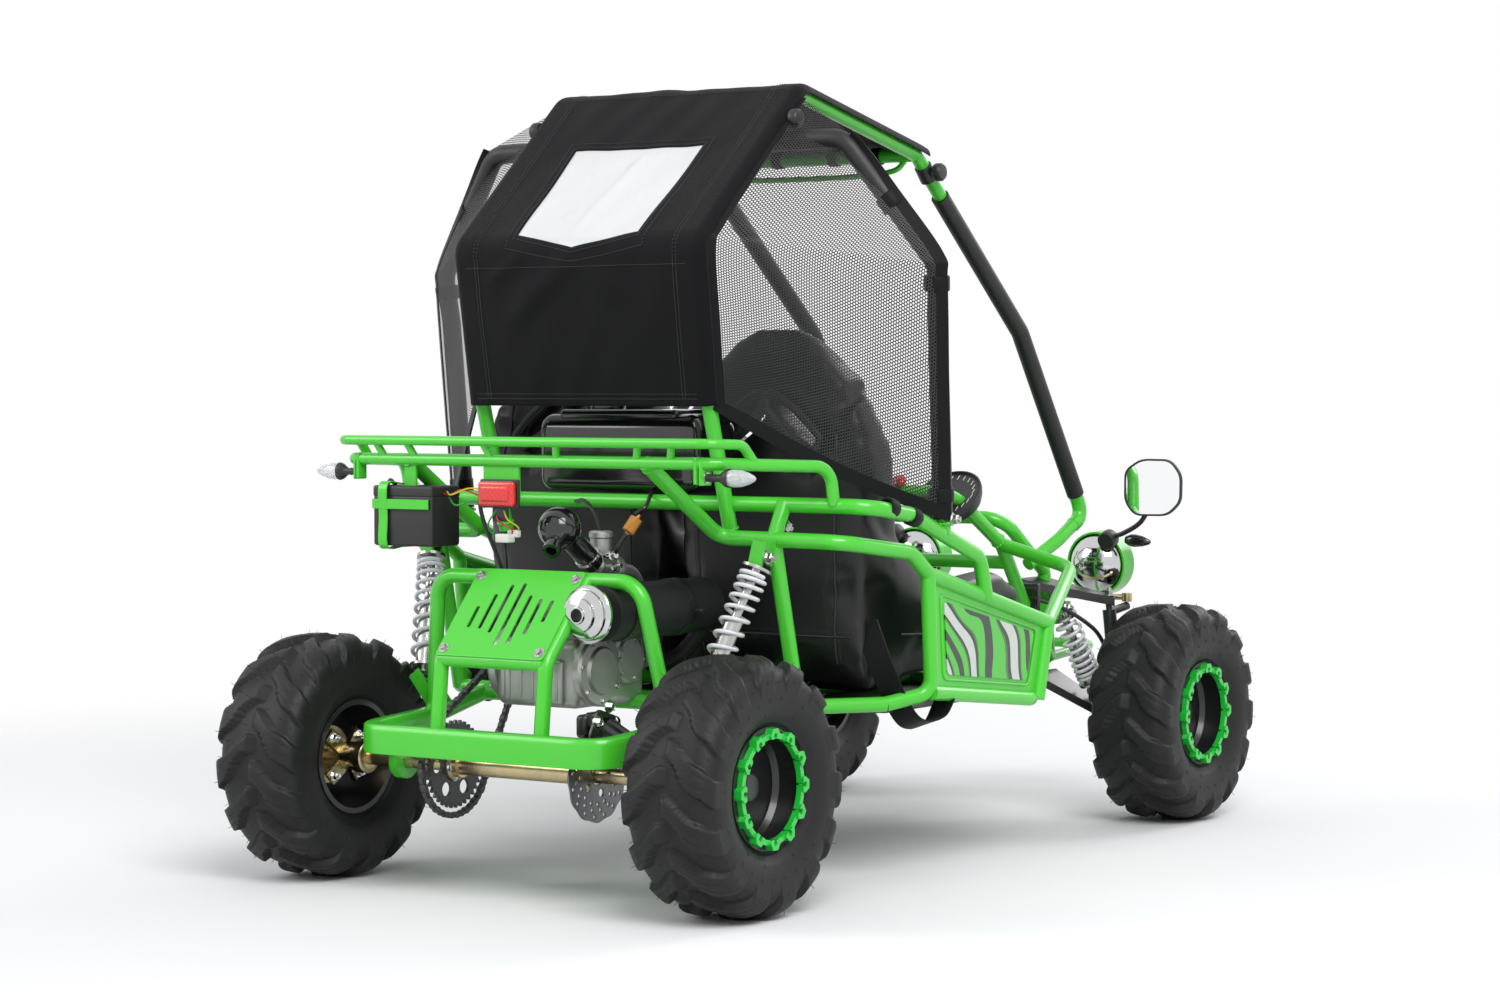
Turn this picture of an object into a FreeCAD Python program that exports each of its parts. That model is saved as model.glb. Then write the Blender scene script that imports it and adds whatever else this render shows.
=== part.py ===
import FreeCAD, Part
import math
import os
import re
import Sketcher
from FreeCAD import Placement, Rotation, Vector

# Two-seat off-road buggy with a welded tube frame, a cloth roof and a chain-driven solid rear axle.
# Millimetres, +X forward, +Y to the driver's left, +Z up. The origin is on the ground, midway
# between the axles.

os.makedirs("parts", exist_ok=True)
doc = FreeCAD.newDocument("buggy")
sheet = doc.addObject("Spreadsheet::Sheet", "Sizes")

# Driving dimensions
sizes = {
    "wheelbase": 1452,
    "rear_track": 824,
    "front_track": 836,
    "seat_gap": 0.3,
    "overrun": 40,
    # Frame tubes
    "tube": 25,
    "thin_tube": 19,
    "rack_tube": 20,
    "rail_tube": 16,
    "tube_bend": 45,
    "tight_bend": 28,
    "lug_plate": 5,
    "strap_width": 24,
    "sheet_metal": 2,
    "foam_diameter": 33,
    "foam_clear": 33.6,
    "tube_clear": 25.6,
    # Wheels
    "tyre_diameter": 406,
    "tyre_width": 165,
    "carcass_depth": 12,
    "bead_diameter": 178,
    "rim_width": 128,
    "rim_wall": 3,
    "dish_depth": 46,
    "cap_diameter": 52,
    "ring_outer": 190,
    "ring_inner": 160,
    "ring_depth": 14,
    "nut_blocks": 12,
    "nut_block_width": 26,
    "nut_bore": 9,
    # Rear axle
    "axle_diameter": 25,
    "axle_sleeve_diameter": 34,
    "hub_diameter": 62,
    "hub_flange": 96,
    "hub_thickness": 10,
    "sprocket_offset": 140,
    "sprocket_pitch_diameter": 136,
    "sprocket_teeth": 31,
    "sprocket_thickness": 6,
    "tooth_height": 6,
    "chain_width": 12,
    "chain_height": 11,
    "chain_room": 7,
    "drive_diameter": 52,
    "disc_offset": 150,
    "disc_diameter": 152,
    "disc_thickness": 4,
    "bearing_offset": 238,
    "bearing_width": 16,
    "running_gap": 0.1,
    # Front suspension
    "steer_angle": 27,
    "kingpin_tube": 26,
    "stub_diameter": 20,
    "arm_depth": 16,
    "arm_end": 30,
    "rod_diameter": 12,
    "rod_end_diameter": 20,
    "column_diameter": 18,
    # Shocks
    "spring_diameter": 50,
    "spring_wire": 8,
    "spring_coils": 9,
    "shock_body": 30,
    "shock_eye": 24,
    "shock_end": 34,
    # Engine, tank and boxes
    "engine_width": 210,
    "engine_height": 220,
    "engine_length": 190,
    "cylinder_diameter": 96,
    "cylinder_length": 120,
    "cover_diameter": 128,
    "cover_depth": 26,
    "muffler_diameter": 90,
    "muffler_length": 285,
    "outlet_diameter": 26,
    "filter_diameter": 72,
    "tank_width": 330,
    "tank_length": 130,
    "tank_height": 147,
    "battery_width": 125,
    "battery_length": 75,
    "battery_height": 100,
    # Seats
    "seat_width": 380,
    "seat_length": 440,
    "seat_height": 575,
    "seat_shell": 34,
    "cushion": 60,
    "bolster_width": 62,
    "bolster_rise": 62,
    # Cloth
    "canopy_thickness": 4,
    "mesh_thickness": 3,
    # Lamps and mirrors
    "headlight_diameter": 122,
    "headlight_depth": 62,
    "mirror_width": 105,
    "mirror_height": 112,
    "mirror_thickness": 16,
    "pitman_length": 38,
    "wheel_rim_diameter": 300,
    "wheel_grip": 26,
    # Small plates and lamps
    "lamp_plate_width": 72,
    "tail_light_width": 73,
    "tail_light_height": 41.6,
    # Shares of other sizes
    "corner_share": 0.48,
    "straight_limit_share": 0.02,
    "root_share": -0.3,
    "crest_share": -0.14,
    "window_circle_share": 0.66,
    "window_share": 0.42,
    "drive_ahead_share": 0.1,
    "drive_down_share": 0.25,
    "bearing_share": 2.4,
    "post_share": 0.7,
    "arm_spread_share": 1.6,
    "arm_tip_share": 0.35,
    "pin_room_share": 0.6,
    "can_share": 0.45,
    "case_share": 0.72,
    "case_half_share": 0.36,
    "barrel_rise_share": 0.1,
    "barrel_slope_share": 0.35,
    "snout_share": 0.6,
    "snout_radius_share": 0.3,
    "rod_cap_share": 0.8,
    "bowl_share": 0.43,
    "bowl_step_share": 0.1,
    "stalk_share": 0.25,
    "stem_share": 1.5,
}

# Joints of the frame and seats of the parts on its left side: forward, out from the middle, up
places = {
    "rack_corner": (-719, 367, 698),
    "rack_front": (-492, 437, 690),
    "rack_upper_corner": (-733, 376, 729),
    "rack_upper_front": (-668, 389, 727),
    "rack_upper_foot": (-640, 392, 698),
    "cross_drop": (-480, 437, 629),
    "cross_corner": (-474, 500, 627),
    "arm_shoulder": (-350, 500, 611),
    "arm_knee": (-126, 497, 533),
    "arm_foot": (-92, 490, 464),
    "brace_top": (-719, 240, 698),
    "brace_bend": (-520, 243, 574),
    "rear_node": (-515, 345, 573),
    "node_link": (-478, 340, 628),
    "side_corner": (-510, 472, 571),
    "side_middle": (-335, 490, 549),
    "pod_top_rear": (-280, 490, 512),
    "pod_top_front": (140, 478, 408),
    "pod_low_rear": (-262, 486, 316),
    "pod_low_front": (105, 478, 277),
    "rail_rear": (-452, 350, 300),
    "rail_out": (-330, 440, 300),
    "inner_rail_rear": (-452, 190, 300),
    "inner_rail_front": (640, 190, 300),
    "outrigger_front": (150, 190, 300),
    "dash_top": (255, 215, 625),
    "dash_middle": (430, 218, 525),
    "dash_low": (537, 212, 392),
    "front_top": (465, 200, 572),
    "front_low": (622, 200, 466),
    "front_base": (660, 190, 300),
    "pillar_foot": (710, 229, 566),
    "foot_bend": (634, 226, 527),
    "foot_root": (552, 205, 482),
    "nose_bend": (420, 370, 486),
    "bumper_front": (880, 170, 310),
    "bumper_high": (880, 150, 372),
    "stay_foot": (-470, 232, 574),
    "stay_hem": (-534, 232, 790),
    "stay_bend": (-572, 236, 1046),
    "roof_peak": (-286, 240, 1303),
    "roof_front": (108, 229, 1224),
    "pillar_bend": (478, 229, 916),
    "pillar_base": (706, 229, 590),
    "hoop_foot": (-248, 500, 575),
    "hoop_waist": (-279, 507, 932),
    "hoop_elbow": (-290, 513, 1014),
    "hoop_top": (-334, 362, 1222),
    "swing_pivot": (-392, 205, 330),
    "swing_bend": (-520, 240, 300),
    "swing_rear": (-690, 240, 262),
    "bumper_rear": (-832, 235, 246),
    "guard_top": (-686, 205, 508),
    "guard_foot": (-655, 240, 280),
    "plate_top": (-690, 105, 508),
    "plate_low": (-800, 105, 382),
    "plate_foot": (-812, 105, 262),
    "shock_rear_top": (-540, 338, 545),
    "shock_rear_low": (-628, 286, 330),
    "shock_front_top": (622, 236, 398),
    "shock_front_low": (694, 272, 238),
    "upper_arm_inner": (585, 190, 448),
    "lower_arm_inner": (640, 190, 268),
    "kingpin_top": (717, 288, 402),
    "kingpin_low": (725, 306, 188),
    "rod_eye": (768, 300, 412),
    "headlight": (828, 205, 470),
    "lamp_clamp": (800, 236, 520),
    "mirror": (792, 345, 622),
    "front_signal": (806, 300, 518),
    "rear_signal_root": (-712, 344, 676),
    "rear_signal_tip": (-712, 445, 676),
    "seat": (-250, 212, 313),
    "engine": (-610, 0, 400),
    "muffler": (-700, -135, 457),
    "tank": (-412, 0, 714),
    "battery": (-705, 235, 605),
    "tail_light": (-729.8, 45, 645),
    "air_filter": (-640, -12, 588),
    "cross_middle": (458, 215, 490),
    "steering_wheel": (130, 190, 743.7),
    "steering_foot": (748, 120, 380),
    "mesh_foot": (-262, 502, 604),
    "sleeve_top": (190, 229, 1154),
    "sleeve_low": (692, 229, 611),
    "carburettor": (-548, -30, 500),
}

cells = dict(sizes)
for place_name, corner in places.items():
    for letter, number in zip("xyz", corner):
        cells[place_name + "_" + letter] = number
for row, (alias, number) in enumerate(cells.items(), start=1):
    sheet.set("A%d" % row, alias)
    sheet.set("B%d" % row, str(number))
    sheet.setAlias("B%d" % row, alias)
doc.recompute()


def size(name):
    """The value of one cell of the sheet."""
    return float(sheet.get(name))


def at(name, side=1):
    """A named place on the left side, or on the right with side -1."""
    return Vector(size(name + "_x"), side * size(name + "_y"), size(name + "_z"))


def formula(text):
    """A formula over the sheet's cells, written with their bare names."""
    return re.sub(r"[a-z][a-z_0-9]*", lambda word: "Sizes." * (word.group() in cells) + word.group(), text)


def bind(piece, **formulas):
    """Bind properties of an object to formulas over the sheet's cells."""
    for prop, text in formulas.items():
        piece.setExpression(prop, formula(text))
    return piece


def block(name, centre, length, width, height, turn=Rotation()):
    """A box about a centre, its three sizes given as formulas."""
    box = bind(doc.addObject("Part::Box", name), Length=length, Width=width, Height=height)
    doc.recompute()
    half = Vector(box.Length.Value, box.Width.Value, box.Height.Value) * 0.5
    box.Placement = Placement(centre - turn.multVec(half), turn)
    return box


def drum(name, base, direction, radius, height):
    """A cylinder from a base point along a direction, its two sizes given as formulas."""
    cylinder = bind(doc.addObject("Part::Cylinder", name), Radius=radius, Height=height)
    cylinder.Placement = Placement(base, Rotation(Vector(0, 0, 1), direction))
    return cylinder


def cut(name, base, tools):
    """One object less several others."""
    if len(tools) > 1:
        tool = doc.addObject("Part::MultiFuse", name + "_tools")
        tool.Shapes = tools
    else:
        tool = tools[0]
    less = doc.addObject("Part::Cut", name)
    less.Base = base
    less.Tool = tool
    less.Label = name
    return less


def outline(body, name, plane, corners, offset=None):
    """A closed sketch of straight lines whose corners are formulas over the sheet."""
    sketch = body.newObject("Sketcher::SketchObject", name)
    origin = [part for part in body.Origin.OriginFeatures if part.Role == plane][0]
    sketch.AttachmentSupport = [(origin, "")]
    sketch.MapMode = "FlatFace"
    if offset:
        sketch.setExpression("AttachmentOffset.Base.z", formula(offset))
    guess = [(evaluate(across), evaluate(up)) for across, up in corners]
    count = len(guess)
    for n in range(count):
        line = Part.LineSegment(Vector(*guess[n], 0), Vector(*guess[(n + 1) % count], 0))
        sketch.addGeometry(line, False)
    for n in range(count):
        sketch.addConstraint(Sketcher.Constraint("Coincident", n, 2, (n + 1) % count, 1))
    for n, (across, up) in enumerate(corners):
        for kind, text, value in (("DistanceX", across, guess[n][0]), ("DistanceY", up, guess[n][1])):
            index = sketch.addConstraint(Sketcher.Constraint(kind, -1, 1, n, 1, value))
            sketch.setExpression("Constraints[%d]" % index, formula(text))
    return sketch


def evaluate(text):
    """The value now of a formula over the sheet's cells."""
    return float(sheet.evalExpression(formula(text)))


def turned(name, corners):
    """A body revolved about the Y axis from an outline of radius and offset formulas."""
    body = doc.addObject("PartDesign::Body", name)
    sketch = outline(body, name + "_profile", "XY_Plane", corners)
    spun = body.newObject("PartDesign::Revolution", name + "_turned")
    spun.Profile = sketch
    spun.ReferenceAxis = (sketch, ["V_Axis"])
    spun.Angle = 360
    body.Tip = spun
    return body


def route(points, bend):
    """Straight runs joined by tangent arcs of one bend radius."""
    edges = []
    start = points[0]
    for before, corner, after in zip(points, points[1:], points[2:]):
        inward = (before - corner).normalize()
        onward = (after - corner).normalize()
        turn = math.pi - inward.getAngle(onward)
        shorter = min((before - corner).Length, (after - corner).Length)
        cut = min(bend * math.tan(turn / 2), shorter * size("corner_share"))
        if turn < size("straight_limit_share"):
            continue
        radius = cut / math.tan(turn / 2)
        first = corner + inward * cut
        last = corner + onward * cut
        middle_way = (inward + onward).normalize()
        reach = math.hypot(radius, cut) - radius
        edges.append(Part.LineSegment(start, first).toShape())
        edges.append(Part.Arc(first, corner + middle_way * reach, last).toShape())
        start = last
    edges.append(Part.LineSegment(start, points[-1]).toShape())
    return Part.Wire(edges)


def tube(name, points, diameter="tube", bend="tube_bend"):
    """A round tube swept along a bent route."""
    spine = doc.addObject("Part::Feature", name + "_route")
    spine.Shape = route(points, size(bend))
    ring = doc.addObject("Part::Circle", name + "_ring")
    ring.setExpression("Radius", "Sizes." + diameter + " / 2")
    ring.Placement = Placement(points[0], Rotation(Vector(0, 0, 1), points[1] - points[0]))
    sweep = doc.addObject("Part::Sweep", name)
    sweep.Sections = [ring]
    sweep.Spine = (spine, ["Edge%d" % (n + 1) for n in range(len(spine.Shape.Edges))])
    sweep.Solid = True
    sweep.Frenet = False
    return sweep


def rod(start, end, diameter):
    """A plain round bar between two points."""
    return Part.makeCylinder(diameter / 2, (end - start).Length, start, end - start)


def fuse(name, members):
    """One welded piece made of several objects."""
    weld = doc.addObject("Part::MultiFuse", name)
    weld.Shapes = members
    weld.Label = name
    return weld


def solid(name, shape, label=None):
    """A piece whose shape is worked out from the sheet's values."""
    piece = doc.addObject("Part::Feature", name)
    piece.Shape = shape
    piece.Label = label or name
    return piece


def spot(name, ahead="0", out="0", up="0", side=1):
    """A named place on one side, moved by formulas."""
    shift = Vector(evaluate(ahead), side * evaluate(out), evaluate(up))
    return at(name, side) + shift


def both(names):
    """A route across the car: one side's points, then the other side's in turn."""
    return [at(name, -1) for name in names] + [at(name) for name in reversed(names)]


sides = (("left", 1), ("right", -1))
wheel_radius = size("tyre_diameter") / 2
rear_axle = Vector(-size("wheelbase") / 2, 0, wheel_radius)
front_axle = Vector(size("wheelbase") / 2, 0, wheel_radius)

# Main frame: the welded cage round the seats, from the rear cross tube to the nose
members = []
members.append(tube("cross_tube", both(["arm_foot", "arm_knee", "arm_shoulder", "cross_corner"])))
members.append(tube("rear_cross", both(["rail_out", "rail_rear"])))
members.append(tube("low_cross", [at("outrigger_front", -1), at("outrigger_front")]))
members.append(tube("base_cross", [at("front_base", -1), at("front_base")]))
members.append(tube("dash_hoop", both(["front_base", "dash_low", "dash_middle", "dash_top"])))
members.append(tube("front_hoop", both(["front_low", "front_top"])))
members.append(tube("middle_cross", [at("cross_middle", -1), at("cross_middle")]))
members.append(tube("bumper", both(["front_base", "bumper_front"]), "thin_tube"))
for word, side in sides:
    def run(name, *names, diameter="tube", bend="tube_bend"):
        """A tube on this side through named places."""
        members.append(tube(name + "_" + word, [at(n, side) for n in names], diameter, bend))
    run("side_tube", "rear_node", "side_corner", "side_middle", "pod_top_rear", "pod_top_front")
    run("node_link", "rear_node", "node_link")
    run("rear_post", "rear_node", "rail_rear")
    run("brace", "rear_node", "brace_bend", "brace_top", bend="tight_bend")
    run("pod_post", "pod_top_rear", "pod_low_rear", "rail_out", bend="tight_bend")
    run("pod_rail", "pod_low_rear", "pod_low_front", "outrigger_front")
    run("pod_front", "pod_top_front", "pod_low_front")
    run("nose_tube", "dash_middle", "nose_bend", "pod_top_front")
    run("pillar_tube", "foot_root", "foot_bend", "pillar_foot")
    run("inner_rail", "inner_rail_rear", "inner_rail_front")
    run("front_leg", "front_low", "front_base")


def ears(name, eye, carrier, side):
    """Two lug plates either side of a shock's eye, reaching from it to the tube that carries them."""
    gap = size("shock_eye") / 2 + size("seat_gap")
    reach = carrier - eye
    reach.x = 0
    across = Vector(0, reach.z, -reach.y).normalize() * (size("shock_eye") / 2)
    plates = []
    for way in (1, -1):
        start = eye + Vector(way * gap, 0, 0) - reach.normalize() * size("shock_eye") / 2
        end = Vector(start.x, carrier.y, carrier.z)
        corners = [start - across, start + across, end + across, end - across]
        face = Part.Face(Part.makePolygon(corners + [corners[0]]))
        plates.append(face.extrude(Vector(way * size("lug_plate"), 0, 0)))
    pin_half = Vector(gap + size("lug_plate"), 0, 0)
    plates.append(rod(eye - pin_half, eye + pin_half, size("rod_diameter")))
    return solid(name, plates[0].fuse(plates[1:]))


for word, side in sides:
    rear_eye = at("shock_rear_top", side)
    members.append(ears("rear_ears_" + word, rear_eye, at("rear_node", side), side))
    front_eye = at("shock_front_top", side)
    leg_low, leg_high = at("front_base", side), at("front_low", side)
    share = (front_eye.z - leg_low.z) / (leg_high.z - leg_low.z)
    members.append(ears("front_ears_" + word, front_eye, leg_low + (leg_high - leg_low) * share, side))
fuse("main_frame", members)

# Luggage rack: two bent tubes over the engine, one above the other, on short risers
members = [
    tube("rack_loop", both(["cross_drop", "rack_front", "rack_corner"]), "rack_tube"),
    tube("rack_rail", both(["rack_upper_foot", "rack_upper_front", "rack_upper_corner"]), "rail_tube",
         "tight_bend"),
]
corner, tab = at("rack_corner"), size("lug_plate")
lamp = at("tail_light")
members.append(block("lamp_plate", Vector(corner.x, lamp.y, (corner.z + lamp.z) / 2), "lug_plate",
                     "lamp_plate_width", "rack_corner_z - tail_light_z + rack_tube"))
strap_middle = (corner.z + size("battery_z")) / 2 - size("battery_height") / 4
members.append(block("battery_strap", Vector(corner.x, size("battery_y"), strap_middle), "lug_plate",
                     "strap_width", "rack_corner_z - battery_z + battery_height / 2"))
for word, side in sides:
    root = at("rear_signal_root", side)
    tab_middle = Vector(corner.x, root.y - side * tab / 2, (corner.z + root.z) / 2)
    members.append(block("signal_tab_" + word, tab_middle, "rack_tube", "lug_plate",
                         "rack_corner_z - rear_signal_root_z + rack_tube"))
rack = fuse("rack_tubes", members)
rack_seat = cut("luggage_rack", rack, [doc.getObject("main_frame")])

# Roof frame and main hoop
members = []
for word, side in sides:
    points = [at(n, side) for n in ("stay_foot", "stay_hem", "stay_bend", "roof_peak", "roof_front",
                                    "pillar_bend", "pillar_base")]
    members.append(tube("roof_side_" + word, points))
members.append(tube("roof_rear", [at("stay_bend", -1), at("stay_bend")]))
members.append(tube("roof_middle", [at("roof_peak", -1), at("roof_peak")]))
members.append(tube("roof_cross", [at("roof_front", -1), at("roof_front")]))
roof = fuse("roof_tubes", members)
hoop = tube("hoop_tube", both(["hoop_foot", "hoop_waist", "hoop_elbow", "hoop_top"]))
cut("roof_frame", roof, [doc.getObject("main_frame")])
cut("main_hoop", hoop, [doc.getObject("main_frame"), roof])

# Wheels: tyre, dished rim and clamping ring, all turned about the axle
tyre_shares = [(0.13, 0.84), (0.28, 0.95), (0.55, 1), (0.78, 0.97), (0.93, 0.86), (1, 0.64), (1, 0.4),
               (0.98, 0.2)]
bead = "(rim_width / 2 - rim_wall - seat_gap)"
tyre_side = [("bead_diameter / 2 + seat_gap", bead), ("ring_outer / 2 + rim_wall", bead)]
tyre_rise = "bead_diameter / 2 + %s * (tyre_diameter - bead_diameter) / 2"
tyre_side += [(tyre_rise % up, "%s * tyre_width / 2" % out) for up, out in tyre_shares]
tyre_outline = tyre_side + [(up, "-1 * " + out) for up, out in reversed(tyre_side)]
dish = "(rim_width / 2 - dish_depth)"
rim_outline = [
    ("axle_diameter / 2 + running_gap", dish), ("cap_diameter / 2", dish),
    ("bead_diameter / 2 - 3 * rim_wall", dish), ("bead_diameter / 2 - rim_wall", dish + " + 3 * rim_wall"),
    ("bead_diameter / 2 - rim_wall", "rim_width / 2"), ("ring_outer / 2", "rim_width / 2"),
    ("ring_outer / 2", "rim_width / 2 - rim_wall"), ("bead_diameter / 2", "rim_width / 2 - rim_wall"),
    ("bead_diameter / 2", "rim_wall - rim_width / 2"), ("ring_outer / 2", "rim_wall - rim_width / 2"),
    ("ring_outer / 2", "-1 * rim_width / 2"), ("bead_diameter / 2 - rim_wall", "-1 * rim_width / 2"),
    ("bead_diameter / 2 - rim_wall", dish + " - rim_wall"), ("hub_diameter / 2", dish + " - rim_wall"),
    ("hub_diameter / 2", dish + " - rim_wall - hub_thickness"),
    ("axle_diameter / 2 + running_gap", dish + " - rim_wall - hub_thickness"),
]


def clamp_ring(place):
    """The bolted outer ring: a thin band carrying a circle of hexagonal nut blocks, each bored through."""
    outer = size("rim_width") / 2 + size("seat_gap") + size("ring_depth")
    inner = outer - size("ring_depth")
    half = size("nut_block_width") / 2
    middle = size("ring_outer") / 2 - half
    foot = Vector(0, inner, 0)
    ring = Part.makeCylinder(middle + half / 3, outer - inner - half / 3, foot, Vector(0, 1, 0))
    bores = [Part.makeCylinder(middle - half / 3, size("overrun"), Vector(0, inner, 0), Vector(0, 1, 0))]
    for n in range(int(size("nut_blocks"))):
        turn = 2 * math.pi * n / size("nut_blocks")
        centre = Vector(middle * math.cos(turn), inner, middle * math.sin(turn))
        corners = []
        for k in range(6):
            angle = turn + math.pi * (k + 0.5) / 3
            corners.append(centre + Vector(half * math.cos(angle), 0, half * math.sin(angle)))
        block_face = Part.Face(Part.makePolygon(corners + [corners[0]]))
        ring = ring.fuse(block_face.extrude(Vector(0, outer - inner, 0)))
        bores.append(Part.makeCylinder(size("nut_bore") / 2, size("overrun"), centre, Vector(0, 1, 0)))
    ring = ring.cut(bores)
    ring.Placement = place
    return ring


def wheel_place(side, axle, track):
    """Where one wheel stands, its outer face away from the car."""
    turn = Rotation(Vector(0, 0, 1), 0 if side == 1 else 180)
    return Placement(axle + Vector(0, side * size(track) / 2, 0), turn)


rear_rims = []
rear_rings = []
for end, axle, track in (("rear", rear_axle, "rear_track"), ("front", front_axle, "front_track")):
    for word, side in sides:
        place = wheel_place(side, axle, track)
        tyre = turned("tyre_" + end + "_" + word, tyre_outline)
        tyre.Placement = place
        rim = turned("rim_" + end + "_" + word, rim_outline)
        rim.Placement = place
        ring = solid("ring_" + end + "_" + word, clamp_ring(place))
        if end == "rear":
            rear_rims.append(rim)
            rear_rings.append(ring)
for name, members in (("rear_rims", rear_rims), ("rear_rings", rear_rings)):
    pair = doc.addObject("Part::Compound", name)
    pair.Links = members
    pair.Label = name

# Rear axle: a solid bar with its two hub flanges, sprocket and brake disc
half = size("rear_track") / 2
dish_back = size("rim_width") / 2 - size("dish_depth") - size("rim_wall") - size("hub_thickness")
bar_half = half + dish_back + size("rim_wall") + size("hub_thickness")
bar = rod(rear_axle - Vector(0, bar_half, 0), rear_axle + Vector(0, bar_half, 0), size("axle_diameter"))
sleeve_right = rear_axle - Vector(0, size("disc_offset"), 0)
sleeve_left = rear_axle + Vector(0, size("sprocket_offset"), 0)
axle_parts = [rod(sleeve_right, sleeve_left, size("axle_sleeve_diameter"))]
for word, side in sides:
    seat = side * (half + dish_back - size("seat_gap"))
    face = rear_axle + Vector(0, seat, 0)
    inward = Vector(0, -side, 0)
    axle_parts.append(Part.makeCylinder(size("hub_flange") / 2, size("hub_thickness"), face, inward))
    sleeve_radius = size("axle_sleeve_diameter") / 2
    axle_parts.append(Part.makeCylinder(sleeve_radius, 4 * size("hub_thickness"), face, inward))
solid("rear_axle", bar.fuse(axle_parts))


def toothed_disc(radius, teeth, height, thickness, centre):
    """A flat sprocket about the Y axis with trapezoid teeth."""
    corners = []
    root, crest = size("root_share"), size("crest_share")
    for n in range(teeth):
        for share, reach in ((root, 0), (crest, height), (-crest, height), (-root, 0)):
            angle = 2 * math.pi * (n + share) / teeth
            out = radius + reach
            corners.append(Vector(out * math.cos(angle), -thickness / 2, out * math.sin(angle)))
    face = Part.Face(Part.makePolygon(corners + [corners[0]]))
    disc = face.extrude(Vector(0, thickness, 0))
    disc.Placement = Placement(centre, Rotation())
    return disc


root_radius = size("sprocket_pitch_diameter") / 2 - size("tooth_height") / 2
sprocket_centre = rear_axle + Vector(0, size("sprocket_offset"), 0)
sprocket = toothed_disc(root_radius, int(size("sprocket_teeth")), size("tooth_height"),
                        size("sprocket_thickness"), sprocket_centre)
through = Vector(0, size("overrun"), 0)
windows = []
for n in range(4):
    angle = math.pi * (2 * n + 1) / 4
    way = Vector(math.cos(angle), 0, math.sin(angle))
    middle = sprocket_centre + way * root_radius * size("window_circle_share")
    windows.append(rod(middle - through, middle + through, root_radius * size("window_share")))
hub_hole = rod(sprocket_centre - through, sprocket_centre + through, size("axle_sleeve_diameter"))
solid("sprocket", sprocket.cut(windows + [hub_hole]))

# Chain: one fixed loop round both sprockets, standing just clear of the teeth
drive_centre = spot("engine", "drive_ahead_share * engine_length", "sprocket_offset",
                    "-1 * drive_down_share * engine_height")
drive_radius = size("drive_diameter") / 2


def belt(radius_a, centre_a, radius_b, centre_b, width):
    """The solid inside a tight loop round two circles about the Y axis."""
    along = centre_b - centre_a
    reach = along.Length
    tilt = math.acos((radius_a - radius_b) / reach)
    base = math.atan2(along.z, along.x)

    def rim_point(centre, radius, angle):
        """A point of one circle."""
        return centre + Vector(radius * math.cos(angle), -width / 2, radius * math.sin(angle))
    upper, lower = base + tilt, base - tilt
    a_up = rim_point(centre_a, radius_a, upper)
    b_up = rim_point(centre_b, radius_b, upper)
    a_low = rim_point(centre_a, radius_a, lower)
    b_low = rim_point(centre_b, radius_b, lower)
    loop = Part.Wire([
        Part.LineSegment(a_up, b_up).toShape(),
        Part.Arc(b_up, rim_point(centre_b, radius_b, base), b_low).toShape(),
        Part.LineSegment(b_low, a_low).toShape(),
        Part.Arc(a_low, rim_point(centre_a, radius_a, base + math.pi), a_up).toShape(),
    ])
    return Part.Face(loop).extrude(Vector(0, width, 0))


inside = size("sprocket_pitch_diameter") / 2 + size("tooth_height") / 2 + size("chain_room")
outer_loop = belt(inside + size("chain_height"), sprocket_centre, drive_radius + size("chain_height"),
                  drive_centre, size("chain_width"))
inner_loop = belt(inside, sprocket_centre, drive_radius, drive_centre, size("chain_width"))
solid("chain", outer_loop.cut(inner_loop))

# Brake disc on the axle's right half
disc_centre = rear_axle - Vector(0, size("disc_offset"), 0)
disc_half = Vector(0, size("disc_thickness") / 2, 0)
disc = rod(disc_centre - disc_half, disc_centre + disc_half, size("disc_diameter"))
disc_bore = rod(disc_centre - through, disc_centre + through, size("axle_sleeve_diameter"))
solid("brake_disc", disc.cut(disc_bore))

# Swing arm: two long arms, the flat bumper, the guard hoop and the engine's cradle
members = []
members.append(tube("guard_hoop", both(["swing_rear", "guard_foot", "guard_top"])))
members.append(tube("swing_cross", [at("swing_bend", -1), at("swing_bend")]))
members.append(tube("swing_pivot_tube", [at("swing_pivot", -1), at("swing_pivot")]))
members.append(tube("plate_cross", [at("plate_low", -1), at("plate_low")]))
members.append(tube("guard_bumper", both(["swing_rear", "bumper_rear"]), bend="tube_bend"))
for word, side in sides:
    arm_places = [at(n, side) for n in ("swing_pivot", "swing_bend", "swing_rear")]
    members.append(tube("swing_tube_" + word, arm_places))
    plate_places = [at(n, side) for n in ("plate_top", "plate_low", "plate_foot")]
    members.append(tube("plate_tube_" + word, plate_places))
    bracket = rod(rear_axle + Vector(0, side * size("bearing_offset"), 0),
                  rear_axle + Vector(0, side * (size("bearing_offset") + size("bearing_width")), 0),
                  size("axle_diameter") * size("bearing_share"))
    bore = rod(rear_axle, rear_axle + Vector(0, side * 2 * size("bearing_offset"), 0),
               size("axle_diameter") + 2 * size("running_gap"))
    quarter = size("bearing_width") / 4
    plate_corner = Vector(-size("axle_diameter"), side * (size("bearing_offset") + quarter) - quarter, 0)
    plate = Part.makeBox(size("axle_diameter") * 2, size("bearing_width") / 2,
                         size("swing_rear_z") - rear_axle.z, rear_axle + plate_corner)
    members.append(solid("bearing_" + word, bracket.fuse(plate).cut(bore)))
    eye = at("shock_rear_low", side)
    rear_end, bend_end = at("swing_rear", side), at("swing_bend", side)
    share = (eye.x - rear_end.x) / (bend_end.x - rear_end.x)
    members.append(ears("swing_ears_" + word, eye, rear_end + (bend_end - rear_end) * share, side))
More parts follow.
